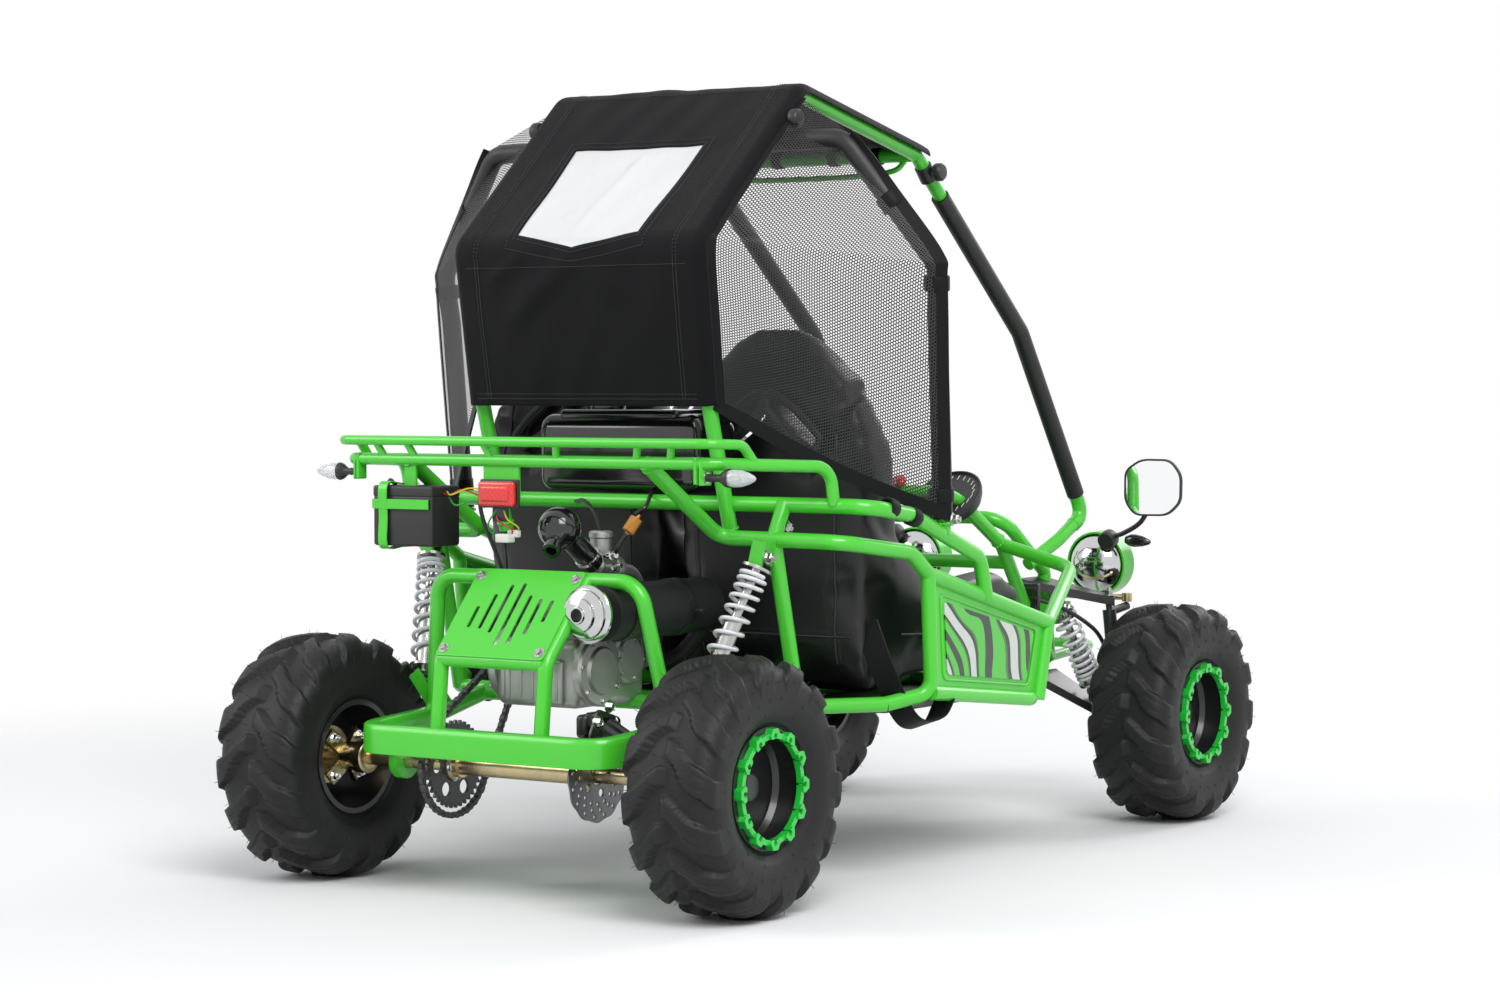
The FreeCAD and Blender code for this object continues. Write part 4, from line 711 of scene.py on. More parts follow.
def ribbon(path, aside, width, thick=0.0012):
    """A flat band along a path: four corners of a thin section, half the width to each side, closed at both
    ends."""
    path = np.asarray(path, float)
    aside = unit(np.broadcast_to(aside, path.shape))
    way = unit(np.gradient(path, axis=0))
    aside = unit(aside - way * np.sum(aside * way, axis=1, keepdims=True))
    face = np.cross(way, aside) * thick / 2
    wide = aside * width / 2
    rows = np.stack([path - wide - face, path - wide * 0.5 - face, path + wide * 0.5 - face,
                     path + wide - face, path + wide + face, path + wide * 0.5 + face,
                     path - wide * 0.5 + face, path - wide + face], axis=1)
    ends = [np.repeat(rows[n].mean(axis=0)[None, None], 8, axis=1) for n in (0, -1)]
    return np.concatenate([ends[0], rows, ends[1]])


bindings = []
for grid, _ in net_grids:
    bindings.append(ribbon(grid[0] + [0, 0, 0.004], (0, 0, 1), 0.022, 0.003))
    bindings.append(ribbon(grid[:, 1], grid[:, 4] - grid[:, 0], 0.018, 0.0024))
    bindings.append(ribbon(grid[:, -2], grid[:, -1] - grid[:, -5], 0.02, 0.0024))
skin("net_binding", bindings, tape, sharp=50)

# Foam sleeves on the hoop and both front pillars: closed-cell foam in a smooth black skin, slit and pushed
# over the tubes.
foam = finish("foam_sleeve", (0.0075, 0.0075, 0.008), 0.48, grain=0.5, grain_scale=170, drift=0.2,
              drift_scale=14, rounded=0.002)
dress(foam, "foam_sleeves")

# Seats. A moulded foam bucket in black vinyl with stitched side wings, a knitted insert in front, and two
# slanted belt slots with moulded rings. The foam is blown up a little by a cloth simulation.
seat_long, seat_tall, seat_half, wing_wide = 0.44, 0.605, 0.2, 0.062
seat_base = 0.313
seat_side = ((-0.14, 0.0), (1, 0.07), (1, 0.2), (0.8, 0.22), (0.13, 0.18), (0.0, 0.5), (-0.02, 0.86),
             (-0.07, 1.0), (-0.15, 1.0), (-0.19, 0.86), (-0.19, 0.3), (-0.17, 0.08))
wing_side = ((-0.14, 0.0), (1, 0.07), (1, 0.25), (0.8, 0.3), (0.3, 0.27), (0.05, 0.42), (0.01, 0.67),
             (-0.06, 0.82), (-0.19, 0.78), (-0.19, 0.3), (-0.17, 0.08))
seat_back = ((0.9, -0.1), (0.92, 0.2), (0.97, 0.4), (0.97, 0.66), (0.83, 0.835), (0.60, 0.9), (0.42, 0.965),
             (0.2, 1.0))


def prism(name, outline, first, last, across=1):
    """A closed prism: an outline in metres in the plane square to one axis, carried from one place along it
    to another."""
    outline = np.asarray(outline, float)
    ends = np.stack([np.insert(outline, across, place, axis=1) for place in (first, last)])
    count = len(outline)
    walls = [(n, (n + 1) % count, count + (n + 1) % count, count + n) for n in range(count)]
    mesh = bpy.data.meshes.new(name)
    mesh.from_pydata(ends.reshape(-1, 3).tolist(), [],
                     walls + [tuple(range(count))[::-1], tuple(range(count, 2 * count))])
    tidy = bmesh.new()
    tidy.from_mesh(mesh)
    bmesh.ops.recalc_face_normals(tidy, faces=tidy.faces)
    tidy.to_mesh(mesh)
    tidy.free()
    piece = bpy.data.objects.new(name, mesh)
    scene.collection.objects.link(piece)
    return piece


def baked(piece):
    """The piece's mesh with its modifiers worked in, and the modifiers taken off."""
    bpy.context.view_layer.update()
    mesh = bpy.data.meshes.new_from_object(piece.evaluated_get(bpy.context.evaluated_depsgraph_get()))
    piece.modifiers.clear()
    piece.data = mesh
    return mesh


def seat_foam(place):
    """The left seat: cushion and back, plus wings, less all outside the rear outline and less the belt slots;
    remeshed to even cells, smoothed, then swollen by air pressure as cloth, no point moving further than a
    cap."""
    def along(shares):
        """Side outline shares to metres."""
        return [(place[0] + a * seat_long, place[2] + u * seat_tall) for a, u in shares]
    inner = seat_half - wing_wide
    body = prism("seat_core", along(seat_side), place[1] - inner - 0.01, place[1] + inner + 0.01)
    tools = []
    for way in (-1, 1):
        wing = prism("wing_core", along(wing_side), place[1] + way * inner,
                     place[1] + way * (seat_half - 0.006))
        tools.append(("UNION", wing))
    rear = [(place[1] + way * out * seat_half, place[2] + up * seat_tall)
            for way, row in ((1, seat_back), (-1, seat_back[::-1])) for out, up in row]
    tools.append(("INTERSECT", prism("rear_outline", rear, place[0] - 0.5, place[0] + 0.9, 0)))
    for way in (-1, 1):
        first, last = np.array([way * 0.018, 0.782 * seat_tall]), np.array([way * 0.088, 0.692 * seat_tall])
        run = unit(last - first)
        wide = np.array([-run[1], run[0]]) * 0.0155
        corners = [first - wide - run * 0.006, first + wide - run * 0.006, last + wide + run * 0.006,
                   last - wide + run * 0.006]
        slot = [(place[1] + c[0], place[2] + c[1]) for c in corners]
        tools.append(("DIFFERENCE", prism("slot_core", slot, place[0] - 0.4, place[0] + 0.1, 0)))
    for work, tool in tools:
        step = body.modifiers.new(work, "BOOLEAN")
        step.operation = work
        step.object = tool
        step.solver = "EXACT"
        baked(body)
        bpy.data.objects.remove(tool)
    grain_step = body.modifiers.new("cells", "REMESH")
    grain_step.mode = "VOXEL"
    grain_step.voxel_size = 0.009
    soften = body.modifiers.new("soften", "SMOOTH")
    soften.factor = 0.5
    soften.iterations = 5
    mesh = baked(body)
    count = len(mesh.vertices)
    before = np.empty(count * 3)
    mesh.vertices.foreach_get("co", before)
    before = before.reshape(-1, 3)
    air = body.modifiers.new("air", "CLOTH")
    air.settings.use_pressure = True
    air.settings.uniform_pressure_force = 4.0
    air.settings.quality = 4
    air.settings.effector_weights.gravity = 0.0
    air.settings.tension_stiffness = 12
    air.settings.compression_stiffness = 12
    air.settings.bending_stiffness = 0.6
    air.point_cache.frame_start, air.point_cache.frame_end = 1, 14
    for number in range(1, 15):
        scene.frame_set(number)
    swollen = baked(body)
    scene.frame_set(1)
    after = np.empty(count * 3)
    swollen.vertices.foreach_get("co", after)
    move = after.reshape(-1, 3) - before
    far = np.linalg.norm(move, axis=1, keepdims=True)
    move = move * np.minimum(1, 0.022 / np.maximum(far, 1e-9)) * 0.55
    swollen.vertices.foreach_set("co", (before + move).ravel())
    swollen.update()
    return body


vinyl_black = finish("seat_vinyl", (0.0065, 0.0065, 0.0072), 0.36, grain=0.3, grain_scale=650, drift=0.25,
                     drift_scale=8, rounded=0.0)
insert = vinyl_black.node_tree
knit_share = insert.nodes.new("ShaderNodeAttribute")
knit_share.attribute_name = "knit"
knit_tone = insert.nodes.new("ShaderNodeMixRGB")
knit_tone.inputs[2].default_value = (0.03, 0.03, 0.032, 1)
insert.links.new(knit_share.outputs["Fac"], knit_tone.inputs[0])
insert.links.new(insert.nodes["tone"].outputs[0], knit_tone.inputs[1])
insert.links.new(knit_tone.outputs[0], insert.nodes["Principled BSDF"].inputs["Base Color"])
knit_cells = insert.nodes.new("ShaderNodeTexVoronoi")
knit_cells.inputs["Scale"].default_value = 260
knit_place = insert.nodes.new("ShaderNodeTexCoord")
insert.links.new(knit_place.outputs["Object"], knit_cells.inputs["Vector"])
knit_bump = insert.nodes.new("ShaderNodeBump")
knit_bump.inputs["Distance"].default_value = 0.0012
insert.links.new(knit_share.outputs["Fac"], knit_bump.inputs["Strength"])
insert.links.new(knit_cells.outputs["Distance"], knit_bump.inputs["Height"])
insert.links.new(insert.nodes["fine_bump"].outputs[0], knit_bump.inputs["Normal"])
insert.links.new(knit_bump.outputs[0], insert.nodes["Principled BSDF"].inputs["Normal"])

left_place = np.array([-0.240, 0.207, seat_base])
left_seat = seat_foam(left_place)
left_seat.name = "seat_cover_left"
seat_mesh = left_seat.data
seat_points = np.empty(len(seat_mesh.vertices) * 3)
seat_mesh.vertices.foreach_get("co", seat_points)
seat_points = seat_points.reshape(-1, 3)
facing = np.empty(len(seat_mesh.vertices) * 3)
seat_mesh.vertices.foreach_get("normal", facing)
facing = facing.reshape(-1, 3)
knit = ((np.abs(seat_points[:, 1] - left_place[1]) < 0.118) & (facing[:, 0] + facing[:, 2] > 0.3)
        & (seat_points[:, 0] > -0.30)).astype(float)
knit_layer = seat_mesh.attributes.new("knit", "FLOAT", "POINT")
knit_layer.data.foreach_set("value", knit)
seat_mesh.materials.clear()
seat_mesh.materials.append(vinyl_black)
seat_mesh.polygons.foreach_set("use_smooth", np.ones(len(seat_mesh.polygons), bool))
right_mesh = seat_mesh.copy()
right_mesh.vertices.foreach_set("co", (seat_points * [1, -1, 1]).ravel())
right_mesh.flip_normals()
right_seat = bpy.data.objects.new("seat_cover_right", right_mesh)
scene.collection.objects.link(right_seat)
for seat, node in ((left_seat, "seat_left"), (right_seat, "seat_right")):
    finer = seat.modifiers.new("finer", "SUBSURF")
    finer.levels = finer.render_levels = 1
    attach(seat, "root")
    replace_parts(seat, node)

# Seams of the seats. The wings are sewn to the back and to the cushion, the back cover ends in a seam above
# the base, and each belt slot has a moulded ring with a raised lip.
seat_tree = BVHTree.FromPolygons(seat_points.tolist(), [list(face.vertices) for face in seat_mesh.polygons])


def on_seat(points, way):
    """Where rays from points along a direction meet the left seat; points that miss stay out."""
    hits = [seat_tree.ray_cast(Vector(p), Vector(way))[0] for p in points]
    return np.array([hit for hit in hits if hit is not None])


def piped(path, radius, columns=12, closed=False):
    """A tube along a path: round each point a circle square to the path, turned from the direction that the
    path follows least, so that it doesn't twist; the ends are closed unless the path is."""
    path = np.asarray(path, float)
    if closed:
        way = unit(np.roll(path, -1, axis=0) - np.roll(path, 1, axis=0))
    else:
        way = unit(np.gradient(path, axis=0))
    least = np.linalg.eigh(way.T @ way)[1][:, 0]
    first = unit(np.cross(way, least))
    second = np.cross(way, first)
    turn = np.linspace(0, 2 * np.pi, columns, endpoint=False)
    radius = np.broadcast_to(np.asarray(radius, float), (len(path),))[:, None, None]
    rows = path[:, None] + radius * (np.cos(turn)[None, :, None] * first[:, None]
                                     + np.sin(turn)[None, :, None] * second[:, None])
    if closed:
        return np.concatenate([rows, rows[:1]])
    ends = [np.repeat(path[n][None, None], columns, axis=1) for n in (0, -1)]
    return np.concatenate([ends[0], rows, ends[1]])


def into_seat(flat_at):
    """The stitches' places, moved 0.6 mm back so that they bite into the cover."""
    return flat_at + [-0.0006, 0, 0]


seam_paths, stitch_paths = [], []
levels = np.linspace(0.36, 0.80, 90)
for way in (-1, 1):
    beside = left_place[1] + way * np.interp(levels, (0.36, 0.7, 0.80), (0.132, 0.14, 0.118))
    line = np.stack([np.full(90, -0.6), beside, levels], axis=-1)
    seam_paths.append(on_seat(line, (1, 0, 0)))
    line = line + [0, way * 0.008, 0]
    stitch_paths.append(on_seat(line, (1, 0, 0)))
across = np.linspace(-0.175, 0.175, 60)
line = np.stack([np.full(60, -0.6), left_place[1] + across, 0.405 + 0 * across], axis=-1)
seam_paths.append(on_seat(line, (1, 0, 0)))
stitch_paths.append(on_seat(line + [0, 0, 0.008], (1, 0, 0)))
for way in (-1, 1):
    forward = np.linspace(-0.22, 0.15, 60)
    line = np.stack([forward, np.full(60, left_place[1] + way * 0.4), 0.405 - 0.05 * (forward + 0.22)],
                    axis=-1)
    seam_paths.append(on_seat(line, (0, -way, 0)))
    line = np.stack([forward, np.full(60, left_place[1] + way * 0.128), np.full(60, 0.8)], axis=-1)
    seam_paths.append(on_seat(line, (0, 0, -1)))
seams = []
for side in (1, -1):
    for path in seam_paths:
        seams.append(piped(eased(path[::4] * [1, side, 1], 120), 0.0022, 8))
skin("seat_piping", seams, satin_plastic)
stitch_runs = [path[::2] * [1, side, 1] for side in (1, -1) for path in stitch_paths]
stitched("seat_stitching", stitch_runs, into_seat, 0.0055)

bezels = []
for side in (1, -1):
    for way in (-1, 1):
        first = np.array([way * 0.018, seat_base + 0.782 * seat_tall])
        last = np.array([way * 0.088, seat_base + 0.692 * seat_tall])
        run = unit(last - first)
        wide = np.array([-run[1], run[0]])
        turn = np.linspace(0, 2 * np.pi, 72, endpoint=False)
        long = np.clip(np.cos(turn) * 1.35, -1, 1)
        for reach, radius, back in ((0.021, 0.0062, 0.0), (0.0165, 0.0045, 0.002)):
            flat = ((first + last) / 2 + run * (long * np.linalg.norm(last - first) / 2)[:, None]
                    + run * (reach * np.cos(turn))[:, None] + wide * (reach * np.sin(turn))[:, None])
            ring = np.stack([np.full(72, -0.335 + back), left_place[1] + flat[:, 0], flat[:, 1]], axis=-1)
            bezels.append(piped(ring * [1, side, 1], radius, 10, closed=True))
skin("belt_slot_rings", bezels, satin_plastic)

# Guard plate. Sheet steel over the engine, in the cage's green, with seven slots of which the middle one is
# the longest, and a screw with a washer at each corner.


def rounded_outline(corners, radius, steps=6):
    """A flat outline with its corners rounded: each corner becomes a curve between two points on its sides,
    weighted by squares of the way along."""
    corners = np.asarray(corners, float)
    points = []
    for before, corner, after in zip(np.roll(corners, 1, axis=0), corners, np.roll(corners, -1, axis=0)):
        trim = min(radius, np.linalg.norm(before - corner) * 0.49, np.linalg.norm(after - corner) * 0.49)
        start = corner + unit(before - corner) * trim
        end = corner + unit(after - corner) * trim
        t = np.linspace(0, 1, steps)[:, None]
        points.append((1 - t) ** 2 * start + 2 * t * (1 - t) * corner + t ** 2 * end)
    return np.concatenate(points)


def circle(centre, radius, count=24):
    """Points round a circle in the plane."""
    turn = np.linspace(0, 2 * np.pi, count, endpoint=False)
    return np.stack([centre[0] + radius * np.cos(turn), centre[1] + radius * np.sin(turn)], axis=-1)


def cut_plate(name, outer, holes, thick, origin, first, second, material, body="root", edge=0.0005):
    """A flat plate with holes: outlines in its own plane filled and thickened with a small bevel, then laid
    out by an origin and two directions."""
    flat = bpy.data.curves.new(name, "CURVE")
    flat.dimensions = "2D"
    flat.fill_mode = "BOTH"
    flat.extrude = thick / 2 - edge
    flat.bevel_depth = edge
    flat.bevel_resolution = 1
    flat.offset = -edge
    for outline in [outer] + list(holes):
        spline = flat.splines.new("POLY")
        spline.points.add(len(outline) - 1)
        spline.points.foreach_set("co", np.concatenate([outline, np.zeros((len(outline), 1)),
                                                        np.ones((len(outline), 1))], axis=1).ravel())
        spline.use_cyclic_u = True
    blank = bpy.data.objects.new(name + "_blank", flat)
    scene.collection.objects.link(blank)
    bpy.context.view_layer.update()
    mesh = bpy.data.meshes.new_from_object(blank.evaluated_get(bpy.context.evaluated_depsgraph_get()))
    bpy.data.objects.remove(blank)
    place = np.empty(len(mesh.vertices) * 3)
    mesh.vertices.foreach_get("co", place)
    place = place.reshape(-1, 3)
    first, second = unit(first), unit(second)
    normal = np.cross(first, second)
    mesh.vertices.foreach_set("co", (np.asarray(origin) + place[:, :1] * first + place[:, 1:2] * second
                                     + place[:, 2:] * normal).ravel())
    tidy = bmesh.new()
    tidy.from_mesh(mesh)
    bmesh.ops.remove_doubles(tidy, verts=tidy.verts, dist=1e-6)
    bmesh.ops.recalc_face_normals(tidy, faces=tidy.faces)
    tidy.to_mesh(mesh)
    tidy.free()
    mesh.polygons.foreach_set("use_smooth", np.zeros(len(mesh.polygons), bool))
    mesh.materials.clear()
    mesh.materials.append(material)
    piece = bpy.data.objects.new(name, mesh)
    scene.collection.objects.link(piece)
    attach(piece, body)
    return piece


plate_low, plate_high = np.array([-0.800, 0, 0.382]), np.array([-0.690, 0, 0.508])
slope = unit(plate_high - plate_low)
slope_long = np.linalg.norm(plate_high - plate_low)
lift = np.array([-slope[2], 0, slope[0]])
plate_middle = (plate_low + plate_high) / 2 + lift * 0.0138
slots = []
for n in range(7):
    half = (0.124 - abs(n - 3) * 0.027) / 2
    shift = 0.010 * math.sin((n - 3) * 1.4)
    centre = (n - 3) * 0.0235
    slots.append(rounded_outline([(centre - 0.0036, shift - half), (centre + 0.0036, shift - half),
                                  (centre + 0.0036, shift + half), (centre - 0.0036, shift + half)],
                                 0.0036, 5))
guard_sheet = cut_plate(
    "guard_sheet", rounded_outline([(-0.108, -slope_long / 2 - 0.004), (0.108, -slope_long / 2 - 0.004),
                                    (0.108, slope_long / 2 + 0.006), (-0.108, slope_long / 2 + 0.006)],
                                   0.006),
    slots, 0.0026, plate_middle, (0, 1, 0), slope, green)
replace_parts(guard_sheet, "guard_plate")
corner_bolts = [plate_middle + np.array([0, a * 0.096, 0]) + slope * u * (slope_long / 2 - 0.010)
                + lift * 0.0012 for a in (-1, 1) for u in (-1, 1)]
skin("guard_screws", placed(hex_bolt(0.010, 0.005), corner_bolts, lift), zinc)

# Bumper band. Flat steel bent round the rear bumper's tube, open below, and welded to it.


def bent(points, window=0.06, step=0.004):
    """A tube's centre line: straight runs in even steps, their corners rounded by averaging over a window."""
    points = np.asarray(points, float)
    run = np.concatenate([[0], np.cumsum(np.linalg.norm(np.diff(points, axis=0), axis=1))])
    marks = np.linspace(0, run[-1], int(run[-1] / step) + 2)
    line = np.stack([np.interp(marks, run, points[:, n]) for n in range(3)], axis=-1)
    half = max(int(window / step / 2), 1)
    line = np.pad(line, ((half, half), (0, 0)), mode="reflect", reflect_type="odd")
    return np.stack([np.convolve(line[:, n], np.ones(2 * half + 1) / (2 * half + 1), mode="valid")
                     for n in range(3)], axis=-1)


band_line = bent([(-0.655, 0.243, 0.262), (-0.836, 0.243, 0.250), (-0.836, -0.243, 0.250),
                  (-0.655, -0.243, 0.262)], 0.11)
band_way = unit(np.gradient(band_line, axis=0))
band_out = unit(np.cross(band_way, (0, 0, 1)))
section = np.array([(0.0, 0.023), (0.012, 0.0232), (0.0150, 0.021), (0.0158, 0.012), (0.0158, -0.020),
                    (0.0152, -0.0232), (0.0128, -0.0232), (0.0122, -0.020), (0.0122, 0.018), (0.010, 0.0200),
                    (-0.010, 0.0200), (-0.0122, 0.018), (-0.0122, -0.020), (-0.0128, -0.0232),
                    (-0.0152, -0.0232), (-0.0158, -0.020), (-0.0158, 0.012), (-0.0150, 0.021),
                    (-0.012, 0.0232)])
band = (band_line[:, None] + band_out[:, None] * section[None, :, :1]
        + np.array([0, 0, 1.0]) * section[None, :, 1:])
band_ends = [np.repeat(band[n].mean(axis=0)[None, None], len(section), axis=1) for n in (0, -1)]
skin("bumper_band", [np.concatenate([band_ends[0], band, band_ends[1]])], green, sharp=50)

# Engine. A small horizontal single: a die-cast case with round side covers, a finned cylinder that lies
# forward, a head with its bolted cap, an electric starter on top and the inlet bend.


def block(low, high, radius, steps=5):
    """A box with rounded edges: rows are rounded rectangles whose inset and height follow a quarter
    circle."""
    low, high = np.array(low) / 1000, np.array(high) / 1000
    radius = radius / 1000
    middle, half = (low + high) / 2, (high - low) / 2
    rows = []
    arc = np.linspace(0, np.pi / 2, steps)
    for level, inset in ([(-half[2] + radius * (1 - np.sin(a)), radius * (1 - np.cos(a))) for a in arc[::-1]]
                         + [(half[2] - radius * (1 - np.sin(a)), radius * (1 - np.cos(a))) for a in arc]):
        a, b = half[0] - inset, half[1] - inset
        edge = rounded_outline([(-a, -b), (a, -b), (a, b), (-a, b)], max(radius - inset, 0.0004), steps)
        rows.append(np.concatenate([edge, np.full((len(edge), 1), level)], axis=1) + middle)
    ends = [np.repeat(rows[n].mean(axis=0)[None], len(rows[n]), axis=0) for n in (0, -1)]
    order = np.argsort([-row[:, 2].mean() for row in rows])
    rows = [rows[n] for n in order]
    return np.stack([rows[0] * 0 + rows[0].mean(axis=0)] + rows + [rows[-1] * 0 + rows[-1].mean(axis=0)])


def spun(profile, origin, axis, columns=40):
    """A turned shape from a profile in millimetres, placed at an origin in millimetres."""
    return placed(turned(np.asarray(profile, float) / 1000, columns), np.asarray(origin, float) / 1000,
                  axis)[0]


def ring_of(shape, middle, axis, radius, count, start=0.0):
    """Copies of a shape round a circle square to an axis, in millimetres."""
    axis = unit(axis)
    helper = np.array([0.0, 0.0, 1.0]) if abs(axis[2]) < 0.9 else np.array([1.0, 0.0, 0.0])
    first = unit(np.cross(helper, axis))
    second = np.cross(axis, first)
    turn = start + np.arange(count) * 2 * np.pi / count
    spots = (np.asarray(middle, float)
             + radius * (np.cos(turn)[:, None] * first + np.sin(turn)[:, None] * second))
    return placed(shape, spots / 1000, axis)


case = [block((-690, -84, 300), (-505, 84, 410), 16), block((-672, -70, 400), (-560, 60, 432), 12),
        block((-700, -60, 306), (-680, 60, 380), 8)]
case.append(spun([(0, -4), (66, -4), (66, 8), (62, 14), (50, 16), (46, 22), (20, 24), (0, 24)],
                 (-630, 84, 362), (0, 1, 0), 60))
case.append(spun([(0, -4), (58, -4), (58, 6), (54, 11), (40, 12), (36, 17), (0, 17)], (-640, -84, 360),
                 (0, -1, 0), 60))
case.append(spun([(0, -4), (38, -4), (38, 8), (34, 12), (0, 13)], (-560, -84, 372), (0, -1, 0), 48))
case.append(spun([(0, -4), (34, -4), (34, 8), (30, 12), (0, 13)], (-545, 84, 372), (0, 1, 0), 48))
for n in range(5):
    case.append(block((-702, -52 + n * 24, 312), (-684, -48 + n * 24, 374), 1.5, 3))
lean = unit((1.0, 0.0, 0.24))
for n in range(9):
    place = np.array((-505.0, 0, 384)) + lean * (8 + n * 7.4)
    fin = turned(np.array([(0, -0.9), (54, -0.9), (55, 0), (54, 0.9), (0, 0.9)]) / 1000, 48)
    turn = np.linspace(0, 2 * np.pi, 48, endpoint=False)
    squarish = 1 / (np.abs(np.cos(turn)) ** 5 + np.abs(np.sin(turn)) ** 5) ** 0.2
    fin[..., :2] *= squarish[:, None] * 0.94
    case.append(placed(fin, place / 1000, lean)[0])
case.append(spun([(0, 0), (40, 0), (40, 80), (46, 80), (48, 88), (47, 106), (40, 112), (0, 112)],
                 (-507, 0, 383), lean, 48))
case.append(spun([(0, 0), (30, 0), (31, 4), (31, 78), (29, 82), (22, 84), (22, 90), (0, 90)],
                 (-600, -44, 462), (0, 1, 0), 48))
case.append(block((-612, -30, 426), (-586, 20, 440), 4))
inlet = eased([(-0.440, -0.020, 0.452), (-0.446, -0.022, 0.482), (-0.470, -0.026, 0.505),
               (-0.515, -0.030, 0.512)], 30)
case.append(piped(inlet, 0.0155, 20))
case.append(spun([(0, -3), (24, -3), (24, 3), (0, 3)], (-440, -20, 452), (0, 0, 1), 32))
engine_shell = skin("engine_case", case, cast_alloy, sharp=32)
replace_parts(engine_shell, "engine")
case_bolts = ring_of(hex_bolt(0.008, 0.005, 1.5), (-630, 94, 362), (0, 1, 0), 58, 8, 0.2)
case_bolts += ring_of(hex_bolt(0.008, 0.005, 1.5), (-640, -92, 360), (0, -1, 0), 50, 7, 0.3)
case_bolts += ring_of(hex_bolt(0.007, 0.004, 1.5), (-560, -93, 372), (0, -1, 0), 32, 5, 0.0)
case_bolts += ring_of(hex_bolt(0.009, 0.006, 1.5), np.array((-507, 0, 383)) + lean * 111, lean, 30, 4, 0.6)
skin("engine_bolts", case_bolts, zinc, sharp=30)

# Carburettor and air filter. A cast body with a round slide cap, float bowl and brass fittings; a glossy
# black filter ball with a snout, clamped on the inlet; a chrome tap and an amber fuel filter beside them.
carb = [spun([(0, -26), (20, -26), (21, -22), (21, 20), (17, 26), (0, 26)],
             (-548, -26, 524), (-1, 0, 0.1), 32),
        spun([(0, -26), (17, -26), (18, -24), (18, 18), (20, 20), (20, 28), (17, 31), (0, 31)],
             (-548, -26, 550), (0, 0, 1), 32),
        block((-566, -44, 511), (-530, -8, 528), 4),
        spun([(0, -8), (22, -8), (23, -6), (23, 8), (0, 8)], (-520, -29, 516), (1, 0, 0), 32)]
carb_piece = skin("carburettor_body", carb, cast_alloy, sharp=32)
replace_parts(carb_piece, "carburettor")
ball = np.linspace(-1.2, np.pi / 2, 26)
filter_ball = [(0, -40), (14, -40)] + [(35.5 * math.cos(a), 35.5 * math.sin(a)) for a in ball]
filter_parts = [spun(filter_ball, (-641, -12, 588), (-0.72, -0.1, 0.5), 48),
                spun([(0, 20), (13, 20), (13, 46), (15, 48), (15, 54), (9, 54), (9, 30), (0, 30)],
                     (-641, -12, 586), unit((-0.75, -0.25, -0.62)), 32),
                piped(eased([(-0.570, -0.026, 0.528), (-0.592, -0.024, 0.545), (-0.612, -0.018, 0.564),
                             (-0.630, -0.014, 0.578)], 20), 0.0195, 24)]
filter_piece = skin("filter_ball", filter_parts, gloss_black, sharp=35)
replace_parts(filter_piece, "air_filter")
fittings = [spun([(0, -3), (21.4, -3), (21.4, 3), (0, 3)], (-584, -25, 538), (-0.65, 0, 0.62), 32),
            spun([(0, 0), (5, 0), (5, 12), (8, 13), (8, 20), (5, 21), (5, 30), (0, 30)], (-566, -48, 540),
                 (-0.3, -1, 0.1), 20),
            spun([(0, 0), (7, 0), (7, 8), (4, 9), (4, 24), (0, 24)], (-548, -44, 520), (0, -1, 0.2), 20)]
skin("carburettor_fittings", fittings, chrome, sharp=35)
amber = finish("amber_plastic", (0.55, 0.22, 0.02), 0.15, drift=0.2, coat=0.5)
skin("fuel_filter", [spun([(0, 0), (3, 0), (4, 6), (11, 8), (11, 34), (4, 36), (3, 42), (0, 42)],
                          (-560, -84, 574), (0.5, -0.3, 0.8), 28)], amber)

# Muffler end, exhaust pipe and straps. A spun chrome cap in steps with a dark outlet; the black pipe runs
# from the head round to the can, which has two steel straps.
cap_steps = [(0, -2), (45, -2), (46.5, 0), (46.5, 5), (42, 9), (40, 10), (40, 16), (36, 19), (27, 21),
             (26, 27), (20, 29), (14, 30), (13, 34), (11, 34), (11, 20), (0, 20)]
skin("muffler_cap", [spun(cap_steps, (-726, -135, 457), (-1, 0, 0), 64)], chrome, sharp=28)
skin("muffler_outlet", [spun([(0, 21), (10.8, 21), (10.8, 22), (0, 22)], (-726, -135, 457), (-1, 0, 0), 24)],
     exhaust_black)
pipe_line = eased([(-0.420, -0.008, 0.366), (-0.408, -0.040, 0.352), (-0.412, -0.092, 0.374),
                   (-0.408, -0.132, 0.420), (-0.404, -0.137, 0.448), (-0.416, -0.136, 0.457)], 60)
skin("exhaust_pipe", [piped(pipe_line, 0.0135, 24)], exhaust_black)
around = np.linspace(0, 2 * np.pi, 60, endpoint=False)
strap_bands = []
for place in (-0.500, -0.650):
    loop = np.stack([np.full(60, place), -0.135 + 0.0462 * np.cos(around), 0.457 + 0.0462 * np.sin(around)],
                    axis=-1)
    loop = np.concatenate([loop, loop[:1]])
    strap_bands.append(ribbon(loop, (1, 0, 0), 0.02, 0.0022))
    strap_bands.append(block((place * 1000 - 10, -200, 452), (place * 1000 + 10, -180, 456), 1, 3))
skin("muffler_straps", strap_bands, black_steel, sharp=50)

